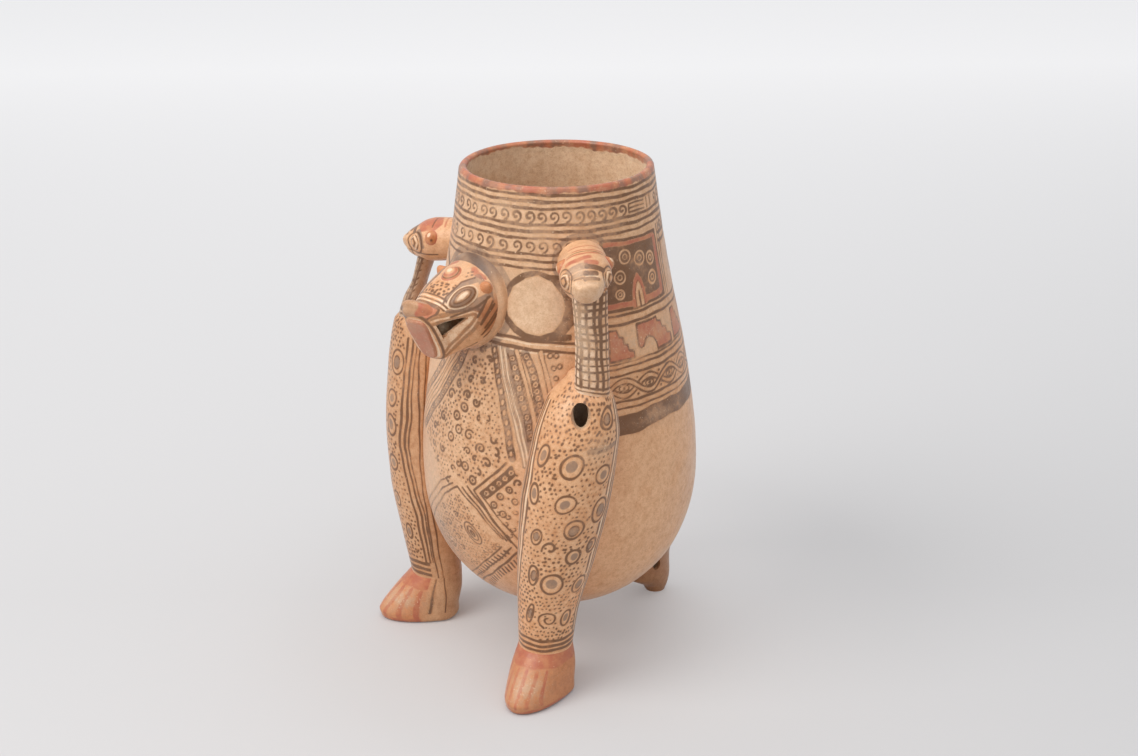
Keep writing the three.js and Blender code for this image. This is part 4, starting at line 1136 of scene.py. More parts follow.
def paint_leg(chart, side):
    """Spots and dots down the leg, framed by dark and pale border lines, with bands at the ankle."""
    drawing = LEG_DRAWINGS[side]
    edge, back, away = drawing["edge"], drawing["back"], drawing["away"]
    for path, sign in ((edge, away), (back, -away)):
        for turn, half, mark in drawing["borders"]:
            chart.line(mark, shifted(path, sign * turn), half)
    for index, (degree, row, width, height) in enumerate(drawing["spots"]):
        rosette(chart, (degree, row), width, height, 40 + index)
    if side == "left":
        chart.curl("ink", (-14, 117.5), 5.4, 0.85, 0.85, 200, -1)
        chart.curl("ink", (5, 62), 7.4, 1.4, 0.8, 250, -1)
        chart.line("grey", [(12, 181), (40, 180), (58, 182)], 1.6)
        chart.wear((30, 180, 26, 8, 0.9))
    chart.bands("ink", ((44.6, 1.15), (40.4, 1.2), (36.6, 1.1)), *drawing["ankle"])
    top = [(away * -50, 217), (away * 58, 217)]
    dotted = shifted(edge, -away * 2.5) + shifted(back, away * 2.5)[::-1] + top
    chart.scatter("ink", dotted, 3.45, hand().dot * 460, 1.0, 21, ("ink", "kept"))
    for degree in drawing["hidden"]:
        chart.line("ink", [(degree, row) for row in np.linspace(34, 205, 20)], 0.7)


def paint_foot(chart, side):
    """A red ankle band that fades into an orange-buff foot with soft red toe strokes."""
    span = (-180, 180) if side == "left" else (-150, 68)
    chart.band("red", 30.5, 4.4, *span)
    toes, ends, half = ((-46, -30, -14, 4, 22, 40), (15, 6), 1.5)
    if side == "right":
        toes, ends, half = ((-60, -40, -20, 0, 20, 40, 60), (14, 3), 1.9)
        for degree in (78, 98):
            chart.line("ink", [(degree, 33), (degree, 8)], 0.8)
    for degree in toes:
        chart.line("red", [(degree, 24), (degree * 1.03, ends[0]), (degree * 1.06, ends[1])], half)
    chart.wear((10, 16, 40, 10, 0.9) if side == "left" else (30, 17, 40, 9, 1.0))
    chart.band("red", 1.6, 1.6, *span)


# The big head's drawing, as degrees and distances along the head: the grey cheek, and its bare stripes.
CHEEK = ((46, 35), (36, 33), (29, 27), (22, 21), (12, 15), (18, 6), (30, 3), (33, 10), (38, 24))
CHEEK_STRIPES = (
    (((22, 8), (14, 14), (6, 20)), 1.7), (((8, 7), (2, 13), (-6, 20)), 1.3),
    (((-8, 9), (-16, 15), (-24, 22)), 1.1),
)
FOREHEAD = ((66, 27.8), (118, 28), (114, 19.4), (98, 20), (82, 19), (66, 17))
TEMPLE = ((66, 19), (60, 10), (62, 3), (74, 0), (74, 5), (68, 10), (76, 18))
# Lines over the nose, and rings round the lips, as mark, place and half width.
NOSE_LINES = (
    ("ink", 28.9, 0.6), ("cream", 30.6, 0.5), ("ink", 32.2, 0.5), ("cream", 33.6, 0.5), ("ink", 35, 0.6),
)
LIP_LINES = (("cream", -2.2, 2.2), ("ink", 1, 0.85), ("cream", 2.7, 0.4), ("ink", 4.6, 1.1))
SNOUT_START = 46.4


def paint_cheek(chart, way):
    """A cheek: a grey wash, bare stripes between dark lines, and dark, grey and red strokes round them."""

    def at(*points):
        return mirrored(points, way, 90)

    chart.fill("grey", at(*CHEEK))
    for path, half in CHEEK_STRIPES:
        chart.line("bare", at(*path), half)
        chart.line("ink", at(*shifted(path, 5, 0.6)), 0.75)
        chart.line("ink", at(*shifted(path, -4, -0.8)), 0.6)
    chart.line("ink", at((29, 34), (27, 26), (24, 17), (26, 7)), 0.8)
    chart.line("ink", at((60, 32), (66, 27), (67, 13), (58, 5)), 0.7)
    chart.line("grey", at((59, 29), (63, 22), (62, 13), (54, 6)), 1.8)
    chart.line("grey", at((30, 5), (42, 5), (56, 3)), 2.4)
    chart.line("red", at((50, 1), (62, 2), (70, 0)), 2.2)


def paint_head(chart):
    """The big head's drawing: dark and pale outlines round the dished lips, a dotted forehead, a pale band
    over the nose, and dark stripes on orange cheeks. The flat front of the snout is left plain within a pale
    and a dark edge."""
    row, degree = np.meshgrid(chart.rows, chart.degrees, indexing="ij")
    along, side, up = big_head_local(row, degree)
    lips = outline_gap(along, up, LIPS)
    cheek = np.where((np.abs(side) > 5) & (row < SNOUT_START), 0, FAR)
    for mark, middle, half in LIP_LINES:
        chart.add(mark, np.maximum(np.abs(lips - middle + chart.breath * 2) - half, cheek))
    for way in (1, -1):
        paint_cheek(chart, way)
    for mark, place, half in NOSE_LINES:
        path = ((48, 0), (70, 0.4), (90, 0.6), (112, 0.3), (132, 0))
        chart.line(mark, shifted(path, 0, place), half)
    chart.scatter("ink", FOREHEAD, 2.9, 1.05, 0.6, 61)
    chart.scatter("ink", TEMPLE, 2.7, 0.9, 0.6, 62)
    chart.line("ink", [(52, 46), (49, 40), (56, 36.6), (90, 36.8), (124, 36.6), (131, 40), (128, 46)], 0.7)
    chart.fill("red", [(48, 47), (50, 40), (58, 37.4), (80, 37.6), (82, 47)])
    for low, high in ((-84, -60), (-56, -36), (216, 240)):
        chart.line("ink", [(low, 40), (high, 26)], 0.6)
    for mark in MARKS:
        chart.field(mark)[chart.rows > SNOUT_START] = FAR
    for mark, middle, half in (("cream", 50.0, 1.0), ("ink", 47.0, 0.8)):
        chart.lay(mark, np.abs(chart.rows - middle)[:, None] - half)
    chart.wear((120, 40, 30, 8, 0.9), (60, 2, 60, 6, 0.7))


def paint_arm_head(chart, side):
    """A small head: red streaks across the crown, a grey brow with dark bars on one half, dark rings round
    the eyes, and dark lines down the cheeks and under the chin."""
    streaks = ((10, 52, 128, 0.7), (16, 46, 120, 0.8), (21, 60, 136, 0.9), (26.6, 84, 140, 1.7))
    for place, low, high, half in streaks:
        chart.line("red", [(low, place - 1.5), ((low + high) / 2, place + 0.4), (high, place - 1.2)], half)
    if side == "right":
        chart.fill("red", [(36, 26), (60, 29), (96, 27), (92, 14), (58, 11), (38, 15)])
        chart.line("grey", [(-4, 23.6), (18, 24.6), (40, 28)], 1.5)
    chart.line("ink", [(48, 18), (90, 18.4), (134, 17.6)], 0.5)
    chart.line("red", [(66, 29), (92, 29.4)], 1.5)
    chart.line("grey", [(96, 32), (120, 32), (150, 31)], 2.1)
    chart.line("grey", [(96, 36.4), (120, 36.4), (150, 35.4)], 1.5)
    for place, low, high, half in ((32.6, 40, 92, 1.5), (36.8, 62, 98, 1.6), (40.2, 46, 104, 0.9)):
        chart.line("ink", [(low, place - 0.5), ((low + high) / 2, place), (high, place)], half)
    chart.line("cream", [(54, 38.4), (100, 38.6)], 0.4)
    chart.line("ink", [(104, 39.4), (122, 39), (146, 38)], 0.5)
    for eye, sign in ((4, 1), (176, -1)):
        chart.oval("ink", (eye, 31), 7.6, 7.0, 0.5)
        chart.line("ink", [(eye - sign * 30, 38), (eye - sign * 30, 28), (eye - sign * 34, 14)], 0.55)
    for degree in (-40, -90, -140):
        chart.line("ink", [(degree - 22, 36), (degree + 22, 36)], 0.55)
    # The patch over the top of the snout, at row 42, is partly rubbed paint and partly a painted highlight.
    chart.wear((120, 34, 34, 6, 1.0), (90, 42, 60, 4, 0.7), (150, 14, 40, 12, 0.6))


def paint_strut(chart, side):
    """A grid of dark lines over cream, with a pale band between dark lines where it meets the thigh."""
    low, high = chart.rows[0], chart.rows[-1]
    for index, degree in enumerate((-98, -72, -47, -20, 6, 30, 54, 78, 100)):
        sway = 3 * math.sin(index * 2.1)
        path = [(degree, low + 6), (degree + sway, (low + high) / 2), (degree, high)]
        chart.line("ink", path, 0.62 + 0.2 * (index % 3))
    for index, row in enumerate(np.arange(low + 11.4, high, 4.7)):
        chart.band("ink", row + 0.7 * math.sin(index * 1.7), 0.66 + 0.2 * (index % 2), -120, 120)
    chart.bands("ink", ((low + 6.4, 0.85), (low + 3.6, 0.6)))
    if side == "left":
        # These pale patches high on the strut are partly rubbed paint and partly a painted highlight for the
        # glare on its upper side.
        chart.wear((-50, high - 24, 50, 22, 1.0), (-30, high - 44, 30, 12, 0.8))
    else:
        chart.wear((0, (low + high) / 2, 90, 24, 1.0))


# Materials.


class Nodes:
    """A new material's tree of nodes, and short ways to add to it. A value is a socket or a constant."""

    def __init__(self, name):
        self.material = bpy.data.materials.new(name)
        self.material.use_nodes = True
        self.tree = self.material.node_tree
        self.tree.nodes.clear()
        self.place = self.add("ShaderNodeTexCoord").outputs["Object"]

    def add(self, kind, inputs=(), **settings):
        """A node with its settings, and values for its inputs by name or number."""
        node = self.tree.nodes.new(kind)
        for key, value in settings.items():
            setattr(node, key, value)
        for key, value in inputs:
            socket = node.inputs[key]
            if isinstance(value, bpy.types.NodeSocket):
                self.tree.links.new(value, socket)
            else:
                socket.default_value = (*value, 1) if socket.type == "RGBA" else value
        return node

    def maths(self, operation, a, b=0.0, c=0.0):
        """A sum, product or the like of values."""
        return self.add("ShaderNodeMath", [(0, a), (1, b), (2, c)], operation=operation).outputs[0]

    def remap(self, value, low, high, to_low=0.0, to_high=1.0, shape="SMOOTHSTEP"):
        """A value carried from one range to another, eased unless the shape is linear."""
        inputs = enumerate((value, low, high, to_low, to_high))
        return self.add("ShaderNodeMapRange", inputs, interpolation_type=shape).outputs[0]

    def blend(self, share, a, b, kind="MIX"):
        """A colour between two, or a colour multiplied by another."""
        inputs = ((0, share), (6, a), (7, b))
        return self.add("ShaderNodeMix", inputs, data_type="RGBA", blend_type=kind).outputs[2]

    def noise(self, scale, detail=4.0):
        """Noise over the object, from about 0.3 to 0.7."""
        inputs = (("Vector", self.place), ("Scale", scale), ("Detail", detail), ("Roughness", 0.55))
        return self.add("ShaderNodeTexNoise", inputs).outputs["Fac"]

    def attribute(self, name, output="Fac"):
        """A value or colour kept on the piece's points."""
        return self.add("ShaderNodeAttribute", attribute_name=name).outputs[output]

    def finish(self, *inputs):
        """The finished material, with a principled surface that has these inputs."""
        surface = self.add("ShaderNodeBsdfPrincipled", inputs)
        self.add("ShaderNodeOutputMaterial", [(0, surface.outputs[0])])
        return self.material


def painted_slip():
    """Burnished, slip-painted earthenware: the slip's colour and the marks come from the piece's own point
    attributes, and noise wears, thins and mottles them. The worn film and the grey cast of the dark paint
    are partly painted highlights and reflections."""
    if "painted_slip" in bpy.data.materials:
        return bpy.data.materials["painted_slip"]
    nodes = Nodes("painted_slip")
    maths, remap, blend = nodes.maths, nodes.remap, nodes.blend
    cloud, patch, mottle = nodes.noise(13), nodes.noise(55, 6), nodes.noise(150, 5)
    grain, speck, dust = nodes.noise(330, 5), nodes.noise(900, 3), nodes.noise(2400, 2)
    blotch = maths("ADD", patch, grain)
    ragged = maths("MULTIPLY_ADD", maths("ADD", speck, grain), 0.55, -0.55)

    def edge(name):
        return maths("ADD", nodes.attribute(name), ragged)

    def mask(name, soft):
        return remap(edge(name), soft, -soft)

    worn = nodes.attribute("worn")
    rub = maths("ADD", maths("MULTIPLY", blotch, 0.5), maths("MULTIPLY", worn, 0.22))
    thin = remap(rub, 0.62 - 0.2 * hand().wear, 0.8 - 0.1 * hand().wear)
    ground = nodes.attribute("ground", "Color")
    for cause, low, high, most, tint in (
        (cloud, 0.35, 0.7, 0.6, (0.84, 0.77, 0.7)),
        (mottle, 0.38, 0.7, 0.45, (0.79, 0.67, 0.56)),
        (grain, 0.42, 0.72, 0.6, (0.8, 0.7, 0.6)),
        (patch, 0.48, 0.72, 0.5, (1.09, 1.08, 1.08)),
        (speck, 0.45, 0.7, 0.6, (0.8, 0.7, 0.6)),
    ):
        ground = blend(remap(cause, low, high, 0, most), ground, tint, "MULTIPLY")
    # The worn attribute lays a pale grey-cream film over the ground: rubbed slip, and where a patch stands
    # for glare, a painted highlight.
    film = maths("MULTIPLY", worn, remap(blotch, 0.75, 1.25, 0.0, 0.7))
    ground = blend(film, ground, tone("sheen", 0.3) + tone("cream", 0.65))
    ground = blend(remap(dust, 0.58, 0.7, 0, 0.55), ground, tone("buff") * (0.5, 0.38, 0.3))
    stain = maths("MULTIPLY", remap(edge("ink"), 1.7, 0, 0, 0.6), remap(blotch, 0.75, 1.2))
    ground = blend(stain, ground, (0.85, 0.68, 0.5), "MULTIPLY")
    cream = maths("MULTIPLY", mask("cream", 0.38), remap(rub, 0.75, 0.5, 0.4, 0.9))
    paint = blend(cream, ground, tone("cream"))
    red = maths("MULTIPLY", mask("red", 0.6), remap(rub, 0.8, 0.5, 0.55, 0.95))
    paint = blend(red, paint, blend(remap(mottle, 0.35, 0.75, 0, 0.7), tone("red"), tone("orange", 0.96)))
    grey = maths("MULTIPLY", mask("grey", 0.5), remap(rub, 0.75, 0.45, 0.3, 0.8))
    paint = blend(grey, paint, tone("sheen"))
    # The dark paint turns to the grey sheen colour in patches: partly rubbed paint and partly a painted
    # reflection off it.
    cast = remap(maths("ADD", patch, maths("MULTIPLY", worn, 0.3)), 0.45, 0.85, 0.0, 0.75)
    hold = maths("MULTIPLY", mask("ink", 0.38), maths("SUBTRACT", 0.9, maths("MULTIPLY", thin, 0.5)))
    paint = blend(hold, paint, blend(cast, tone("ink"), tone("sheen")))
    chips = remap(maths("ADD", speck, maths("MULTIPLY", worn, 0.1)), 0.68, 0.76, 0, 0.6)
    paint = blend(chips, paint, tone("cream", 0.98))
    roughness = remap(maths("MULTIPLY", blotch, 0.5), 0.3, 0.7, 0.28, 0.52)
    height = maths("MULTIPLY_ADD", speck, 0.5, maths("MULTIPLY", grain, 0.8))
    height = maths("MULTIPLY_ADD", hold, 0.12, height)
    bump = nodes.add("ShaderNodeBump", [("Strength", 0.4), ("Distance", 0.0007), ("Height", height)])
    return nodes.finish(
        ("Base Color", paint),
        ("Roughness", roughness),
        ("Normal", bump.outputs[0]),
        ("Specular IOR Level", 0.5),
        ("Sheen Weight", 0.22),
        ("Sheen Roughness", 0.35),
    )


def paper():
    """Matt photographic paper, which glows a little for the camera's own rays: towards its far end, and in a
    pool under the vessel that keeps its shadow soft."""
    nodes = Nodes("paper")
    run = nodes.add("ShaderNodeVectorMath", [(0, nodes.place), (1, BACKWARDS)], operation="DOT_PRODUCT")
    near = nodes.add("ShaderNodeVectorMath", [(0, nodes.place), (1, (0, 0.06, 0))], operation="DISTANCE")
    far_end = nodes.remap(run.outputs["Value"], 0.05, 1.9, 0, 0.42, "LINEAR")
    pool = nodes.remap(near.outputs["Value"], 0, 0.23, 0.17, 0)
    seen = nodes.add("ShaderNodeLightPath").outputs["Is Camera Ray"]
    return nodes.finish(
        ("Base Color", tone("floor")),
        ("Roughness", 0.9),
        ("Specular IOR Level", 0.15),
        ("Emission Color", (1, 0.992, 0.995)),
        ("Emission Strength", nodes.maths("MULTIPLY", nodes.maths("ADD", far_end, pool), seen)),
    )


# Operators.


class VESSEL_OT_stage(bpy.types.Operator):
    """Lay the paper floor, set the lamps and the camera."""

    bl_idname = "vessel.stage"
    bl_label = "Stage"

    def execute(self, context):
        scene = context.scene
        scene.view_settings.view_transform = "Standard"
        run = np.linspace(-3.5, 6.5, 12)
        wide = np.linspace(-5, 5, 12)
        points = run[:, None, None] * BACKWARDS + wide[None, :, None] * SIDEWAYS
        points += AXIS / 1000 * (1, 1, 0)
        mesh = bpy.data.meshes.new("paper_floor")
        faces = grid_faces(*points.shape[:2], wrap_columns=False)
        mesh.from_pydata(points.reshape(-1, 3).tolist(), [], faces[:, ::-1].tolist())
        mesh.shade_smooth()
        floor = bpy.data.objects.new("paper_floor", mesh)
        scene.collection.objects.link(floor)
        mesh.materials.append(paper())
        scene.world = bpy.data.worlds.new("studio")
        scene.world.use_nodes = True
        sky = scene.world.node_tree.nodes["Background"]
        sky.inputs["Color"].default_value = (0.93, 0.965, 1, 1)
        sky.inputs["Strength"].default_value = 0.65
        self.lamp(scene, "key", (-0.15, -1.35, 1.5), 1.2, hand().lamp, (1, 0.985, 0.96))
        self.lamp(scene, "overhead", (0.12, -0.15, 2.1), 2.0, hand().lamp * 1.1, (1, 0.99, 0.98))
        self.camera(scene)
        return {"FINISHED"}

    def lamp(self, scene, name, place, width, power, colour):
        """A round soft lamp that looks at the middle of the vessel."""
        data = bpy.data.lights.new(name, "AREA")
        data.shape = "DISK"
        data.size = width
        data.energy = power
        data.color = colour
        lamp = bpy.data.objects.new(name, data)
        scene.collection.objects.link(lamp)
        lamp.location = place
        lamp.rotation_euler = (Vector((0, 0, 0.16)) - lamp.location).to_track_quat("-Z", "Y").to_euler()

    def camera(self, scene):
        """The camera as solved from the photograph, with its pitch, yaw and roll."""
        distance, height, focal, pitch, yaw, roll = CAMERA
        turns = (("Z", CAMERA_AZIMUTH + yaw), ("X", math.pi / 2 - pitch), ("Z", -roll))
        heading, tilt, lean = (Matrix.Rotation(angle, 4, axis) for axis, angle in turns)
        eye = (AXIS - BACKWARDS * distance + (0, 0, height)) / 1000
        data = bpy.data.cameras.new("studio_camera")
        data.sensor_fit = "HORIZONTAL"
        data.sensor_width = 36
        data.lens = focal / FRAME_WIDTH * data.sensor_width
        data.clip_end = 20
        camera = bpy.data.objects.new("studio_camera", data)
        scene.collection.objects.link(camera)
        camera.matrix_world = Matrix.Translation(eye.tolist()) @ heading @ tilt @ lean
        scene.camera = camera


def jar_ground(chart):
    """The slip under the drawing: warmer on the neck, with a grey cloud low on the belly. The front is
    painted paler as a painted highlight where the light falls most, and the disc is painted paler, partly
    its own bare slip and partly a painted highlight."""
    row = chart.rows[:, None] + 3 * np.sin(np.radians(chart.degrees) * 3)[None, :]
    ground = mix(tone("buff"), tone("gold"), smooth(225, 285, row))
    turn = wrapped(chart.degrees - 8)
    # Painted highlight: the front of the jar is painted paler where the light falls most.
    pale = 0.3 * np.exp(-((turn / 45) ** 2))[None, :] * smooth(60, 190, row)
    # The disc is painted paler: partly its own bare slip and partly a painted highlight.
    disc = 0.6 * np.exp(-(((turn - 34) / 15) ** 4)[None, :] - ((row - 259) / 20) ** 4)
    cloud = 0.4 * np.exp(-(((turn + 18) / 15) ** 2)[None, :] - ((row - 86) / 26) ** 2)
    return mix(mix(ground, tone("cream"), pale + disc), tone("sheen"), cloud)


def lip_marks(level, turn, outside):
    """The lip's red slip: a ragged edge below the rim, deeper on the inside, with rubbed and smeared places,
    as sums and products of sines of the turn round the rim. Outside tells the rows that face outwards."""
    ragged = 0.6 * np.sin(turn * 9 + 1) + 0.4 * np.sin(turn * 23) + 0.3 * np.sin(turn * 61)
    edge = np.where(outside[:, None], 3.7, 4.2 + 1.2 * np.sin(turn * 2 + 1))
    red = RIM_HEIGHT - level - edge - ragged
    rubbed = np.where(red < 0, 0.35 + 0.45 * np.sin(turn * 7 + 2) * np.sin(turn * 17), 0.3)
    smear = 0.15 + np.sin(turn * 5 + 1) * np.sin(turn * 13 + 2) + 0.3 * np.sin(turn * 41)
    return {"red": red, "worn": rubbed, "grey": np.maximum(red, smear)}


def jar_band(name, low, high, step, columns):
    """A ring of the jar's wall: an outline up the outside and down the inside, carried round the axis. The
    lowest ring, the bowl, closes at a pole outside and inside, and the top one, the lip, is rounded. The
    bare inside is painted darker towards the right front and lighter towards the back left, a painted shade
    for light falling into the jar from one side."""
    bowl, lip = low < BOWL_SEAM, high > LIP_SEAM
    floor = BASE_HEIGHT + FLOOR_THICKNESS + 0.5 if bowl else low
    outer = np.append(np.arange(low, high, step), high)
    inner = np.linspace(high, floor, max(4, int(abs(floor - high) / 4)))
    arc = np.linspace(0, math.pi, 13)[1:-1] if lip else np.zeros(0)
    soft = LIP_WALL / 2
    heights = np.concatenate([outer, RIM_HEIGHT - soft + soft * np.sin(arc), inner])
    top = RIM_RADIUS - soft + soft * np.cos(arc)
    radii = np.concatenate([jar_radius(outer), top, hollow_radius(inner)])
    azimuth = around(columns)
    turn = np.radians(azimuth)
    across, back = np.sin(turn), -np.cos(turn)
    level = np.broadcast_to(heights[:, None], (len(heights), columns))
    radius = radii[:, None]
    radius = radius + unevenness(radius * across, radius * back, level)
    points = np.stack([radius * across, radius * back, level], -1)
    slope = np.gradient(jar_radius(outer), outer)
    chart = Chart(azimuth, outer, jar_radius(outer), np.sqrt(1 + slope**2), 0.24)
    paint_jar(chart)
    ground = np.empty(points.shape)
    # Painted shade: the bare inside is darker towards the right front and lighter towards the back left, as
    # if lit from one side.
    ground[:] = tone("inside") * (1 + 0.14 * np.cos(turn - 2.8))[:, None]
    ground[: len(outer)] = jar_ground(chart)
    marks = chart.fields
    if lip:
        marks = {**marks, **lip_marks(level, turn, np.arange(len(heights)) < len(outer) + 5)}
        ground[len(outer) : -len(inner)] = tone("orange", 0.8)
    flat = points.reshape(-1, 3)
    shades = ground.reshape(-1, 3)
    faces = [grid_faces(*points.shape[:2], wrap_rows=not bowl)]
    if bowl:
        count = len(flat)
        first = np.arange(columns)
        faces += [fan_faces(first, count, False), fan_faces(first + count - columns, count + 1, True)]
        flat = np.concatenate([flat, [[0, 0, low], [0, 0, floor]]])
        shades = np.concatenate([shades, [tone("buff"), tone("inside")]])
    build(name, flat, faces, "red_slip" if lip else "buff_slip", shades, marks)


class VESSEL_OT_jar(bpy.types.Operator):
    """Build the jar's wall in its five stages, with the painted drawing."""

    bl_idname = "vessel.jar"
    bl_label = "Jar"

    def execute(self, context):
        jar_band("base_bowl", BASE_HEIGHT + 0.4, BOWL_SEAM, 1.0, 560)
        jar_band("belly_wall", BOWL_SEAM, BELLY_HEIGHT, 0.85, 680)
        jar_band("shoulder_wall", BELLY_HEIGHT, SHOULDER_SEAM, 0.85, 680)
        jar_band("neck_collar", SHOULDER_SEAM, LIP_SEAM, 0.75, 600)
        jar_band("rim_lip", LIP_SEAM, RIM_HEIGHT - LIP_WALL / 2, 0.6, 600)
        return {"FINISHED"}


def leg_stations(side):
    """The stations of a leg from its ankle to the top of its thigh, mirrored for the right one."""
    sign = 1 if side == "left" else -1
    return [(h, a * sign, d, x, y) for h, a, d, x, y in LEG_STATIONS + THIGHS[side]]


def fine_round(reach, fine, coarse, low, high):
    """Degrees round a limb, finely spaced between two angles and coarsely over the buried side."""
    near = np.arange(low, high, math.degrees(fine / reach))
    rest = math.radians(low + 360 - high) * reach
    return np.append(near, np.linspace(high, low + 360, max(6, int(rest / coarse)), endpoint=False))


def limb_rows(low, top, step, domed):
    """Rows of a limb: evenly spaced up to its top station, then domed of them over its crown."""
    return np.append(np.arange(low, top, step), top + CROWN * np.sin(np.linspace(0.1, 1.45, domed)))


def limb_chart(stations, degrees, rows):
    """A chart of a limb, whose reach is the mean of its half width and its depth."""
    across, deep = station_at(stations, rows)[2:]
    return Chart(degrees, rows, (across + deep) / 2)


class VESSEL_OT_legs(bpy.types.Operator):
    """Build the two hollow forelegs, each with its vent."""

    bl_idname = "vessel.legs"
    bl_label = "Forelegs"

    def execute(self, context):
        for side, sign in (("left", 1), ("right", -1)):
            self.leg(side, sign)
        return {"FINISHED"}

    def leg(self, side, sign):
        """A leg's shell, joined at its ankle, with an oval vent cut straight into the thigh."""
        stations = leg_stations(side)
        top = stations[-1][0]
        fine, reach = 0.72, 23.0
        rows = limb_rows(33.1, top, fine, 8)
        degrees = fine_round(reach, fine, 3.0, -125, 125)
        out, along = bearings(VENT["azimuth"] * sign)

        def outside(row, degree):
            return off_the_jar(limb_points(stations, row, degree), 0.8, 5.0)

        def inside(row, degree):
            sunk = row + 1.4 * (1 - smooth(33, 42, row)) - 4.0 * smooth(top - 12, top + CROWN, row)
            return off_the_jar(limb_points(stations, sunk, degree, LEG_WALL), -0.6, 2.0)

        def opening(row, degree):
            points = limb_points(stations, row, degree)
            rise = (row - top + VENT["under_top"]) / VENT["half_height"]
            gap = (np.hypot(points @ along / VENT["half_width"], rise) - 1) * VENT["half_width"]
            return np.where(points @ out > 90, gap, FAR)

        points, faces = shell(outside, inside, rows, degrees, opening, fine, math.radians(reach))
        chart = limb_chart(stations, degrees, rows)
        paint_leg(chart, side)
        # Painted light: the left leg's skin is painted lighter towards its foot, for light thrown up from
        # the floor. The right leg's skin is a little darker all over.
        light = 1 + 0.13 * smooth(115, 50, rows) if side == "left" else np.full(len(rows), 0.88)
        skin = tone("buff") * np.repeat(light, len(degrees))[:, None]
        # Painted shade: the hollow's bare clay is painted darker, for the shade inside the leg.
        shades = coats(points, tone("buff"), skin, tone("inside", 0.8))
        build(side + "_leg", points, faces, "buff_slip", shades, chart.fields)


def thigh_height(side, x, y):
    """Height of a thigh's skin over places on the floor: the highest level whose oval holds each place."""
    stations = leg_stations(side)
    top = stations[-1][0]
    level = np.linspace(top - 30, top + CROWN, 140)
    azimuth, distance, across, deep = station_at(stations, level)
    dome = np.sqrt(np.clip(1 - (np.maximum(level - top, 0) / CROWN) ** 2, 1e-6, 1))
    out, along = bearings(azimuth)
    offset = np.stack([x, y], -1)[:, None, :] - (out * distance[:, None])[:, :2]
    forth = (offset * out[:, :2]).sum(-1) / (deep * dome)
    sideways = (offset * along[:, :2]).sum(-1) / (across * dome)
    return np.where(np.hypot(forth, sideways) < 1, level, level[0]).max(-1)


class VESSEL_OT_feet(bpy.types.Operator):
    """Build the two solid feet."""

    bl_idname = "vessel.feet"
    bl_label = "Feet"

    def execute(self, context):
        for side, sign in (("left", 1), ("right", -1)):
            self.foot(side, sign)
        return {"FINISHED"}

    def foot(self, side, sign):
        """A foot: level rings that go from the sole's outline, long at the toe, to the ankle's circle."""
        levels = eased(FOOT_LEVELS, np.linspace(0, 1, 90))
        height, share, grow = (levels[:, [k]] for k in range(3))
        height = np.clip(height, 0, FOOT_LEVELS[-1][0])
        degrees = around(180)
        turn = np.radians(degrees)[None, :]

        def between(sole):
            return sole + (FOOT["ankle"] - sole) * share + grow

        reach = np.where(np.cos(turn) >= 0, between(FOOT["toe"]), between(FOOT["heel"]))
        out, along = bearings(FOOT["turn"] * sign)
        azimuth, distance = LEG_STATIONS[0][1:3]
        middle = bearings(azimuth * sign)[0] * distance
        points = middle + (reach * np.cos(turn))[..., None] * out
        points = points + (between(FOOT["half"]) * np.sin(turn))[..., None] * along
        points[..., 2] = height
        flat, faces = closed_loft(points)
        chart = Chart(degrees, height[:, 0], between((FOOT["toe"] + FOOT["half"]) / 2)[:, 0], tremble=0.5)
        paint_foot(chart, side)
        bare = (smooth(60, 80, degrees) if side == "right" else 0 * degrees) * np.ones(height.shape)
        shades = coats(flat, tone("orange"), mix(tone("orange"), tone("buff", 0.85), bare))
        build(side + "_foot", flat, faces, "red_slip", shades, chart.fields)


class VESSEL_OT_tail(bpy.types.Operator):
    """Build the hollow tail leg with its side vent."""

    bl_idname = "vessel.tail"
    bl_label = "Tail leg"

    def execute(self, context):
        top = TAIL_STATIONS[-1][0]
        rows = limb_rows(0, top, 1.0, 6)
        degrees = around(120)

        def outside(row, degree):
            return off_the_jar(limb_points(TAIL_STATIONS, row, degree), 0.8, 5.0)

        def inside(row, degree):
            sunk = row + 9 * (1 - smooth(0, 30, row)) - 6 * smooth(top - 12, top + CROWN, row)
            points = limb_points(TAIL_STATIONS, sunk, degree, TAIL_WALL)
            return off_the_jar(points, 5 * smooth(55, 85, row) - 0.6, 2.0)

        def opening(row, degree):
            x, y, z = np.moveaxis(limb_points(TAIL_STATIONS, row, degree), -1, 0)
            back = (y - TAIL_VENT["back"]) / TAIL_VENT["half_width"]
            rise = (z - TAIL_VENT["height"]) / TAIL_VENT["half_height"]
            return np.where(x > 4, (np.hypot(back, rise) - 1) * TAIL_VENT["half_width"], FAR)

        points, faces = shell(outside, inside, rows, degrees, opening, 1.0, 0.3, True)
        # The tail leg's skin: buff and orange slip mixed half and half, darkened with the dark paint to a
        # deep brown.
        tail_brown = mix(mix(tone("buff"), tone("orange"), 0.5), tone("ink"), 0.42)
        skin = np.tile(tail_brown, (len(rows) * len(degrees), 1))
        # Painted shade: the hollow's bare clay is painted much darker, for the shade inside the tail leg.
        shades = coats(points, tail_brown, skin, tone("inside", 0.25))
        build("tail_leg", points, faces, "red_slip", shades)
        return {"FINISHED"}


def head_chart(stations, degrees, rows):
    """A chart of a head, whose reach is the mean of its half width and its reaches above and below."""
    half, above, below = station_at(stations, rows)[:3]
    return Chart(degrees, rows, (half * 2 + above + below) / 4, tremble=0.2)


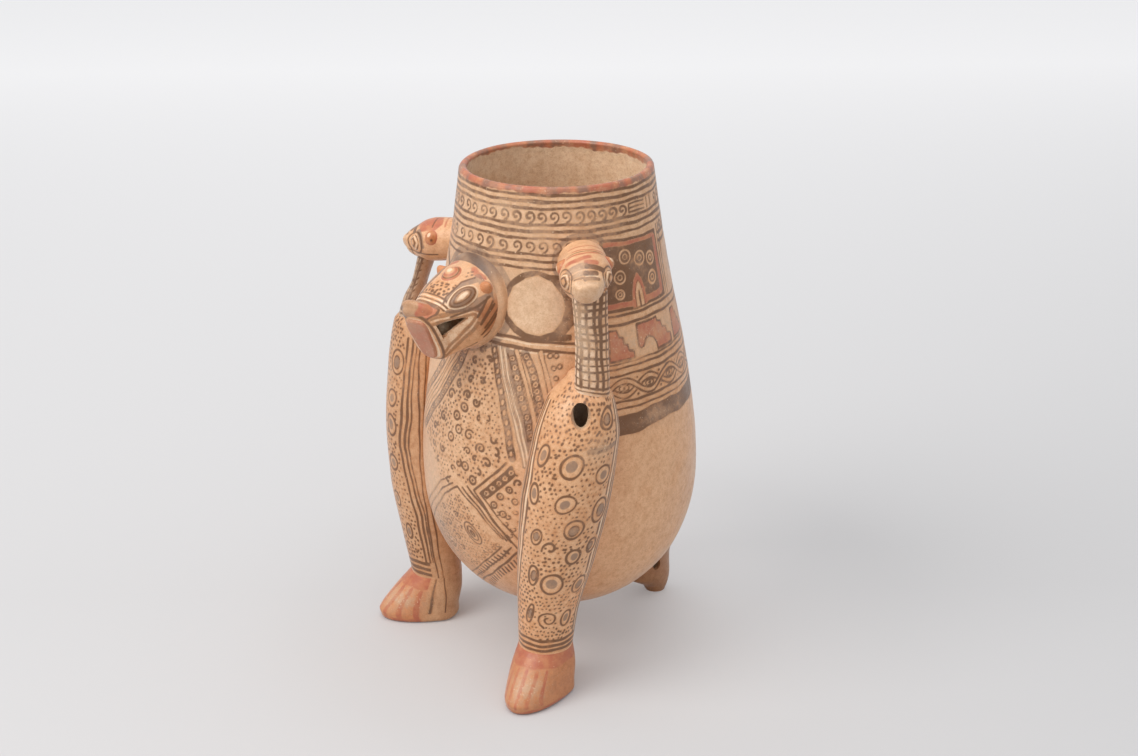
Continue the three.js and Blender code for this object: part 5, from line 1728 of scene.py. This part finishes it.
class VESSEL_OT_head(bpy.types.Operator):
    """Build the hollow big head with its mouth, and the coil of clay round its root."""

    bl_idname = "vessel.head"
    bl_label = "Big head"

    def execute(self, context):
        self.head()
        self.collar()
        return {"FINISHED"}

    def head(self):
        """The head's shell, with the mouth's outline cut through both cheeks. The cheeks are orange."""
        rows = np.arange(-14, 57.5, 0.5)
        degrees = around(340)

        def opening(row, degree):
            along, _, up = big_head_local(row, degree)
            return np.where(row < 45, outline_gap(along, up, MOUTH) - MOUTH_SOFTNESS, FAR)

        points, faces = shell(big_head_points, big_head_hollow, rows, degrees, opening, 0.5, 0.42)
        chart = head_chart(HEAD_STATIONS, degrees, rows)
        paint_head(chart)
        from_side = np.where(degrees < -90, 90, np.abs(np.abs(degrees - 90) - 90))
        cheek = smooth(30, 14, from_side) * smooth(26, 16, rows)[:, None]
        skin = mix(tone("buff"), tone("orange", 0.85), cheek)
        shades = coats(points, tone("buff"), skin, tone("inside"))
        build("head", points, faces, "buff_slip", shades, chart.fields)

    def collar(self):
        """A coil: the head's skin raised by a bump that dies away with the distance from the jar's wall."""
        rows, degrees = np.meshgrid(np.arange(-12, 24, 0.6), around(260), indexing="ij")
        skin = in_frame(BIG_HEAD, *big_head_local(rows, degrees))
        normal = np.cross(np.gradient(skin, axis=1), np.gradient(skin, axis=0))
        normal /= np.linalg.norm(normal, axis=-1, keepdims=True)
        gap = np.hypot(skin[..., 0], skin[..., 1]) - jar_radius(skin[..., 2])
        rise = 2.3 * (1 - smooth(0.5, 7.5, gap)) - 0.6
        outer = off_the_jar(skin + normal * rise[..., None], 1.5, 3.0)
        inner = off_the_jar(skin - normal * 1.6, 2.2, 1.0)
        flat = np.concatenate([outer.reshape(-1, 3), inner.reshape(-1, 3)])
        count = rows.size
        quads = grid_faces(*rows.shape)
        first = np.arange(rows.shape[1])
        last = first + count - len(first)
        on, last_on = np.roll(first, -1), np.roll(last, -1)
        faces = [
            quads,
            quads[:, ::-1] + count,
            np.stack([on, first, first + count, on + count], -1),
            np.stack([last, last_on, last_on + count, last + count], -1),
        ]
        turn = np.radians(degrees)
        patchy = 0.5 + 0.5 * np.sin(turn * 5 + rows / 3) * np.sin(rows / 4.3 + turn * 2)
        below = smooth(0.9, 0.3, np.sin(turn))
        shade = mix(tone("sheen", 0.7), tone("buff"), np.minimum(0.4 * patchy**2 + 0.7 * below, 1))
        build("head_collar", flat, faces, "grey_slip", np.stack([shade, shade]), {"worn": 0.7 * patchy**2})


def lump(name, skin, centre, length, width, height, slot, ground, paint=None):
    """A lump pressed on to a head: a round grid laid on its skin and raised by a half cosine of the distance
    from its middle, closed underneath. Length runs along the head and width round it."""
    along, degree = centre
    step = 0.05
    here, beside = (skin(np.array(along), np.array(degree + turn)) for turn in (0, step))
    reach = np.linalg.norm(beside - here) / step
    share = np.concatenate([np.linspace(0.02, 1, 34), np.linspace(0.94, 0.02, 8)])[:, None]
    under = np.arange(len(share))[:, None] >= 34
    turn = np.linspace(0, 2 * math.pi, 96, endpoint=False)[None, :]
    x, y = length * share * np.cos(turn), width * share * np.sin(turn)
    row, angle = along + x, degree + y / reach
    base = skin(row, angle)
    normal = np.cross(skin(row, angle + step) - base, skin(row + step, angle) - base)
    normal /= np.linalg.norm(normal, axis=-1, keepdims=True)
    rise = (height + 0.5) * (0.5 + 0.5 * np.cos(math.pi * share**1.15)) - 0.5
    rise = np.where(under, -0.5 - 2.0 * (1 - share), rise)
    flat, faces = closed_loft(base + normal * rise[..., None])
    marks = paint(x, y) if paint else {}
    marks = {mark: np.where(under, FAR, field) for mark, field in marks.items()}
    build(name, flat, faces, slot, ground, marks)


def oval_gap(x, y, length, width):
    """Signed distance, nearly, to an oval of two half sizes."""
    out = np.hypot(x / length, y / width)
    return (out - 1) * min(length, width) * (0.6 + 0.4 * out)


def rings(x, y, *wanted):
    """Painted rings on a lump, and cores where half is None: for each mark the nearest of its ovals."""
    marks = {}
    for mark, length, width, half in wanted:
        gap = oval_gap(x, y, length, width)
        gap = gap if half is None else np.abs(gap) - half
        marks[mark] = np.minimum(marks.get(mark, FAR), gap)
    return marks


def long_eye(x, y):
    """Nested ovals: dark outlines round a pale ring, a grey ring and a pale core."""
    dark = (("ink", 12.8, 7.2, 0.6), ("ink", 9.0, 4.5, 0.35), ("ink", 6.2, 2.5, 0.3))
    return rings(x, y, *dark, ("cream", 10.8, 5.8, 0.35), ("grey", 7.6, 3.4, 0.5), ("cream", 4.0, 1.2, None))


def round_eye(x, y):
    """Nested rings of red and dark paint round a pale core."""
    dark = (("ink", 8.1, 7.7, 0.35), ("ink", 5.5, 5.2, 0.3))
    return rings(x, y, *dark, ("red", 6.8, 6.5, 0.95), ("red", 4.1, 3.9, 0.8), ("cream", 1.8, 1.7, None))


def lozenge_eye(x, y):
    """Nested lozenges in dark and pale paint: rings of a mix of the straight distance from the middle and
    the sum of the distances along and across."""
    x, y = x / 5.0, y / 5.8
    out = np.hypot(x, y) * 0.6 + (np.abs(x) + np.abs(y)) * 0.4
    dark = np.minimum(np.abs(out - 0.95) * 4 - 0.5, np.abs(out - 0.42) * 4 - 0.45)
    return {"ink": dark, "cream": np.abs(out - 0.68) * 4 - 0.25}


def ear_rings(x, y):
    """A red rim, a pale spot and a dark pit."""
    pit = np.hypot(x + 1.2, y + 1.6) - 0.8
    return {"red": 3.6 - np.hypot(x, y * 0.85), "ink": pit, "cream": np.hypot(x - 0.8, y - 1.4) - 1.3}


def red_lobe(x, y):
    """A red lobe on one half of the nose, and a grey one on the other, with wavy edges."""
    return {"red": y + 5.5 + 0.6 * np.sin(x), "grey": 2.5 - y + 0.5 * np.sin(2 * x)}


class VESSEL_OT_face(bpy.types.Operator):
    """Press the eyes, ears, nose and tongue on to the big head."""

    bl_idname = "vessel.face"
    bl_label = "Face"

    def execute(self, context):
        tan = mix(tone("sheen"), tone("buff"), 0.6)
        for name, centre, sizes, slot, ground, paint in (
            ("left_eye", (20.6, 47.5), (14.2, 8.6, 3.0), "grey_slip", tan, long_eye),
            ("right_eye", (10.8, 91), (9.0, 8.6, 2.8), "grey_slip", tone("buff"), round_eye),
            ("left_ear", (4.5, 38), (5.2, 5.2, 4.2), "orange_slip", tone("orange"), None),
            ("right_ear", (4.5, 142), (5.2, 5.2, 4.2), "orange_slip", tone("orange"), None),
            ("nose", (42, 107), (7.0, 15.0, 6.6), "red_slip", tan, red_lobe),
        ):
            lump(name, big_head_points, centre, *sizes, slot, ground, paint)
        self.tongue()
        return {"FINISHED"}

    def tongue(self):
        """A plate on the snout's front: a rounded wedge whose half width grows with its height. Its rows run
        from the middle of the face over a round edge to the middle of the back."""
        bend = np.linspace(0, 1.5, 10)
        edge = 1 - 0.1 * (1 - np.sin(bend))
        share = np.concatenate([np.linspace(0.02, 0.88, 16), edge, [1.0, 0.5, 0.02]])
        lift = np.concatenate([np.full(16, 1.9), 0.2 + 1.7 * np.cos(bend), np.full(3, -0.6)])
        share, lift = share[::-1, None], lift[::-1, None]
        turn = np.linspace(0, 2 * math.pi, 120, endpoint=False)[None, :]
        half_height, low_half, spread, middle = 15, 7.25, 1.75, 0.5
        rise = half_height * share * blunted(np.sin(turn), 0.5)
        side = share * blunted(np.cos(turn), 0.5) * (low_half + spread * rise / half_height)
        flat, faces = closed_loft(in_frame(BIG_HEAD, snout_along(side) + lift, side, middle + rise))
        worn = np.full(side.shape, 0.45)
        build("tongue", flat, faces, "red_slip", mix(tone("red"), tone("buff"), 0.22), {"worn": worn})


class VESSEL_OT_arms(bpy.types.Operator):
    """Build the two small heads on the neck and the struts from their chins to the thighs."""

    bl_idname = "vessel.arms"
    bl_label = "Arms"

    def execute(self, context):
        for side in ("left", "right"):
            self.head(side)
            self.strut(side)
        return {"FINISHED"}

    def head(self, side):
        """A small solid head with an eye and an ear on its front and back sides. Its snout is painted paler,
        partly pale slip and partly a painted highlight.
        """

        def skin(row, degree):
            return arm_head_points(side, row, degree)

        end = ARM_HEAD_STATIONS[-1][0]
        rows = np.append(np.arange(-3, end, 0.4), end + ARM_HEAD_DOME * np.linspace(0.1, 1.5, 10))
        degrees = around(240)
        row, degree = np.meshgrid(rows, degrees, indexing="ij")
        flat, faces = closed_loft(skin(row, degree))
        chart = head_chart(ARM_HEAD_STATIONS, degrees, rows)
        paint_arm_head(chart, side)
        # Painted highlight: the snout's paler ground is partly pale slip and partly a painted highlight.
        pale = 0.5 * smooth(33, 41, row)
        shades = coats(flat, tone("cream"), mix(tone("buff"), tone("cream"), pale))
        build(side + "_arm_head", flat, faces, "buff_slip", shades, chart.fields)
        front = -1 if side == "left" else 1
        for name, sign in (("front", front), ("back", -front)):
            for part, along, turn, sizes, slot, ground, paint in (
                ("eye", 31, 4, (5.8, 6.6, 1.8), "grey_slip", tone("buff"), lozenge_eye),
                ("ear", 17, 19, (6.0, 6.6, 2.6), "orange_slip", tone("orange"), ear_rings),
            ):
                centre = (along, turn if sign > 0 else 180 - turn)
                lump("_".join((side, "arm", name, part)), skin, centre, *sizes, slot, ground, paint)

    def strut(self, side):
        """A strap whose foot follows the thigh's skin, a little sunk into it."""
        stations = STRUTS[side]
        degrees = around(130)
        foot = np.full(len(degrees), stations[1][0], float)
        for _ in range(3):
            ring = limb_points(stations, foot, degrees)
            foot = thigh_height(side, ring[:, 0], ring[:, 1]) - 1.8
        row = foot + np.linspace(0, 1, 170)[:, None] * (stations[-1][0] - foot)
        flat, faces = closed_loft(limb_points(stations, row, np.broadcast_to(degrees, row.shape)))
        chart = limb_chart(stations, degrees, row.mean(1))
        paint_strut(chart, side)
        # Painted highlight and shade: the left strut is painted paler towards one side, partly worn cream
        # slip and partly a painted highlight, and both struts are paled with a cream brighter than the
        # slip's own; the right strut's grey ground is partly grey slip and partly painted shade.
        pale = 0.25 + 0.75 * smooth(50, -60, degrees) if side == "left" else np.full(len(degrees), 0.5)
        under = tone("buff" if side == "left" else "sheen")
        coat = mix(under, tone("cream") * (1.2, 1.27, 1.4), np.tile(pale, len(row)))
        shades = coats(flat, under, coat)
        build(side + "_arm_strut", flat, faces, "buff_slip", shades, chart.fields)


class VESSEL_OT_pellets(bpy.types.Operator):
    """Roll the loose rattle pellets: balls whose radius is dented by a product of sines of the place."""

    bl_idname = "vessel.pellets"
    bl_label = "Pellets"

    def execute(self, context):
        turn = np.linspace(0, 2 * math.pi, 40, endpoint=False)
        turn, rise = np.meshgrid(turn, np.linspace(-1.5, 1.5, 22))
        ball = np.stack([np.cos(rise) * np.cos(turn), np.cos(rise) * np.sin(turn), np.sin(rise)], -1)
        lumpy = 0.965 + 0.03 * np.sin(3 * ball[..., 0] + 2 * ball[..., 2]) * np.sin(3 * ball[..., 1] + 1)
        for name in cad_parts:
            if "pellet" not in name:
                continue
            low, high = (np.array(corner) * 1000 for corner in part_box(name))
            middle, radius = (low + high) / 2 - AXIS, (high[2] - low[2]) / 2
            flat, faces = closed_loft(middle + ball * radius * lumpy[..., None])
            build(name, flat, faces, "raw_clay", tone("raw"), body=name)
        return {"FINISHED"}


class VESSEL_PT_sidebar(bpy.types.Panel):
    """Sidebar panel with the jar's slips, sizes and building steps."""

    bl_idname = "VESSEL_PT_sidebar"
    bl_label = "Effigy Jar"
    bl_space_type = "VIEW_3D"
    bl_region_type = "UI"
    bl_category = "Effigy Jar"

    def draw(self, context):
        layout = self.layout
        for group in (context.scene.jar_slips, context.scene.jar_hand):
            for name in group.__annotations__:
                layout.prop(group, name)
        for step in STEPS:
            layout.operator(step.bl_idname)


STEPS = (
    VESSEL_OT_stage,
    VESSEL_OT_jar,
    VESSEL_OT_legs,
    VESSEL_OT_feet,
    VESSEL_OT_tail,
    VESSEL_OT_head,
    VESSEL_OT_face,
    VESSEL_OT_arms,
    VESSEL_OT_pellets,
)
CLASSES = (JarSlips, JarHand, *STEPS, VESSEL_PT_sidebar)


def register():
    """Add the properties, the operators and the panel."""
    for each in CLASSES:
        bpy.utils.register_class(each)
    bpy.types.Scene.jar_slips = bpy.props.PointerProperty(type=JarSlips)
    bpy.types.Scene.jar_hand = bpy.props.PointerProperty(type=JarHand)


def unregister():
    """Take them away again."""
    del bpy.types.Scene.jar_hand
    del bpy.types.Scene.jar_slips
    for each in reversed(CLASSES):
        bpy.utils.unregister_class(each)


def main():
    """Build the whole vessel."""
    register()
    for step in STEPS:
        group, name = step.bl_idname.split(".")
        getattr(getattr(bpy.ops, group), name)()


if __name__ == "__main__":
    main()
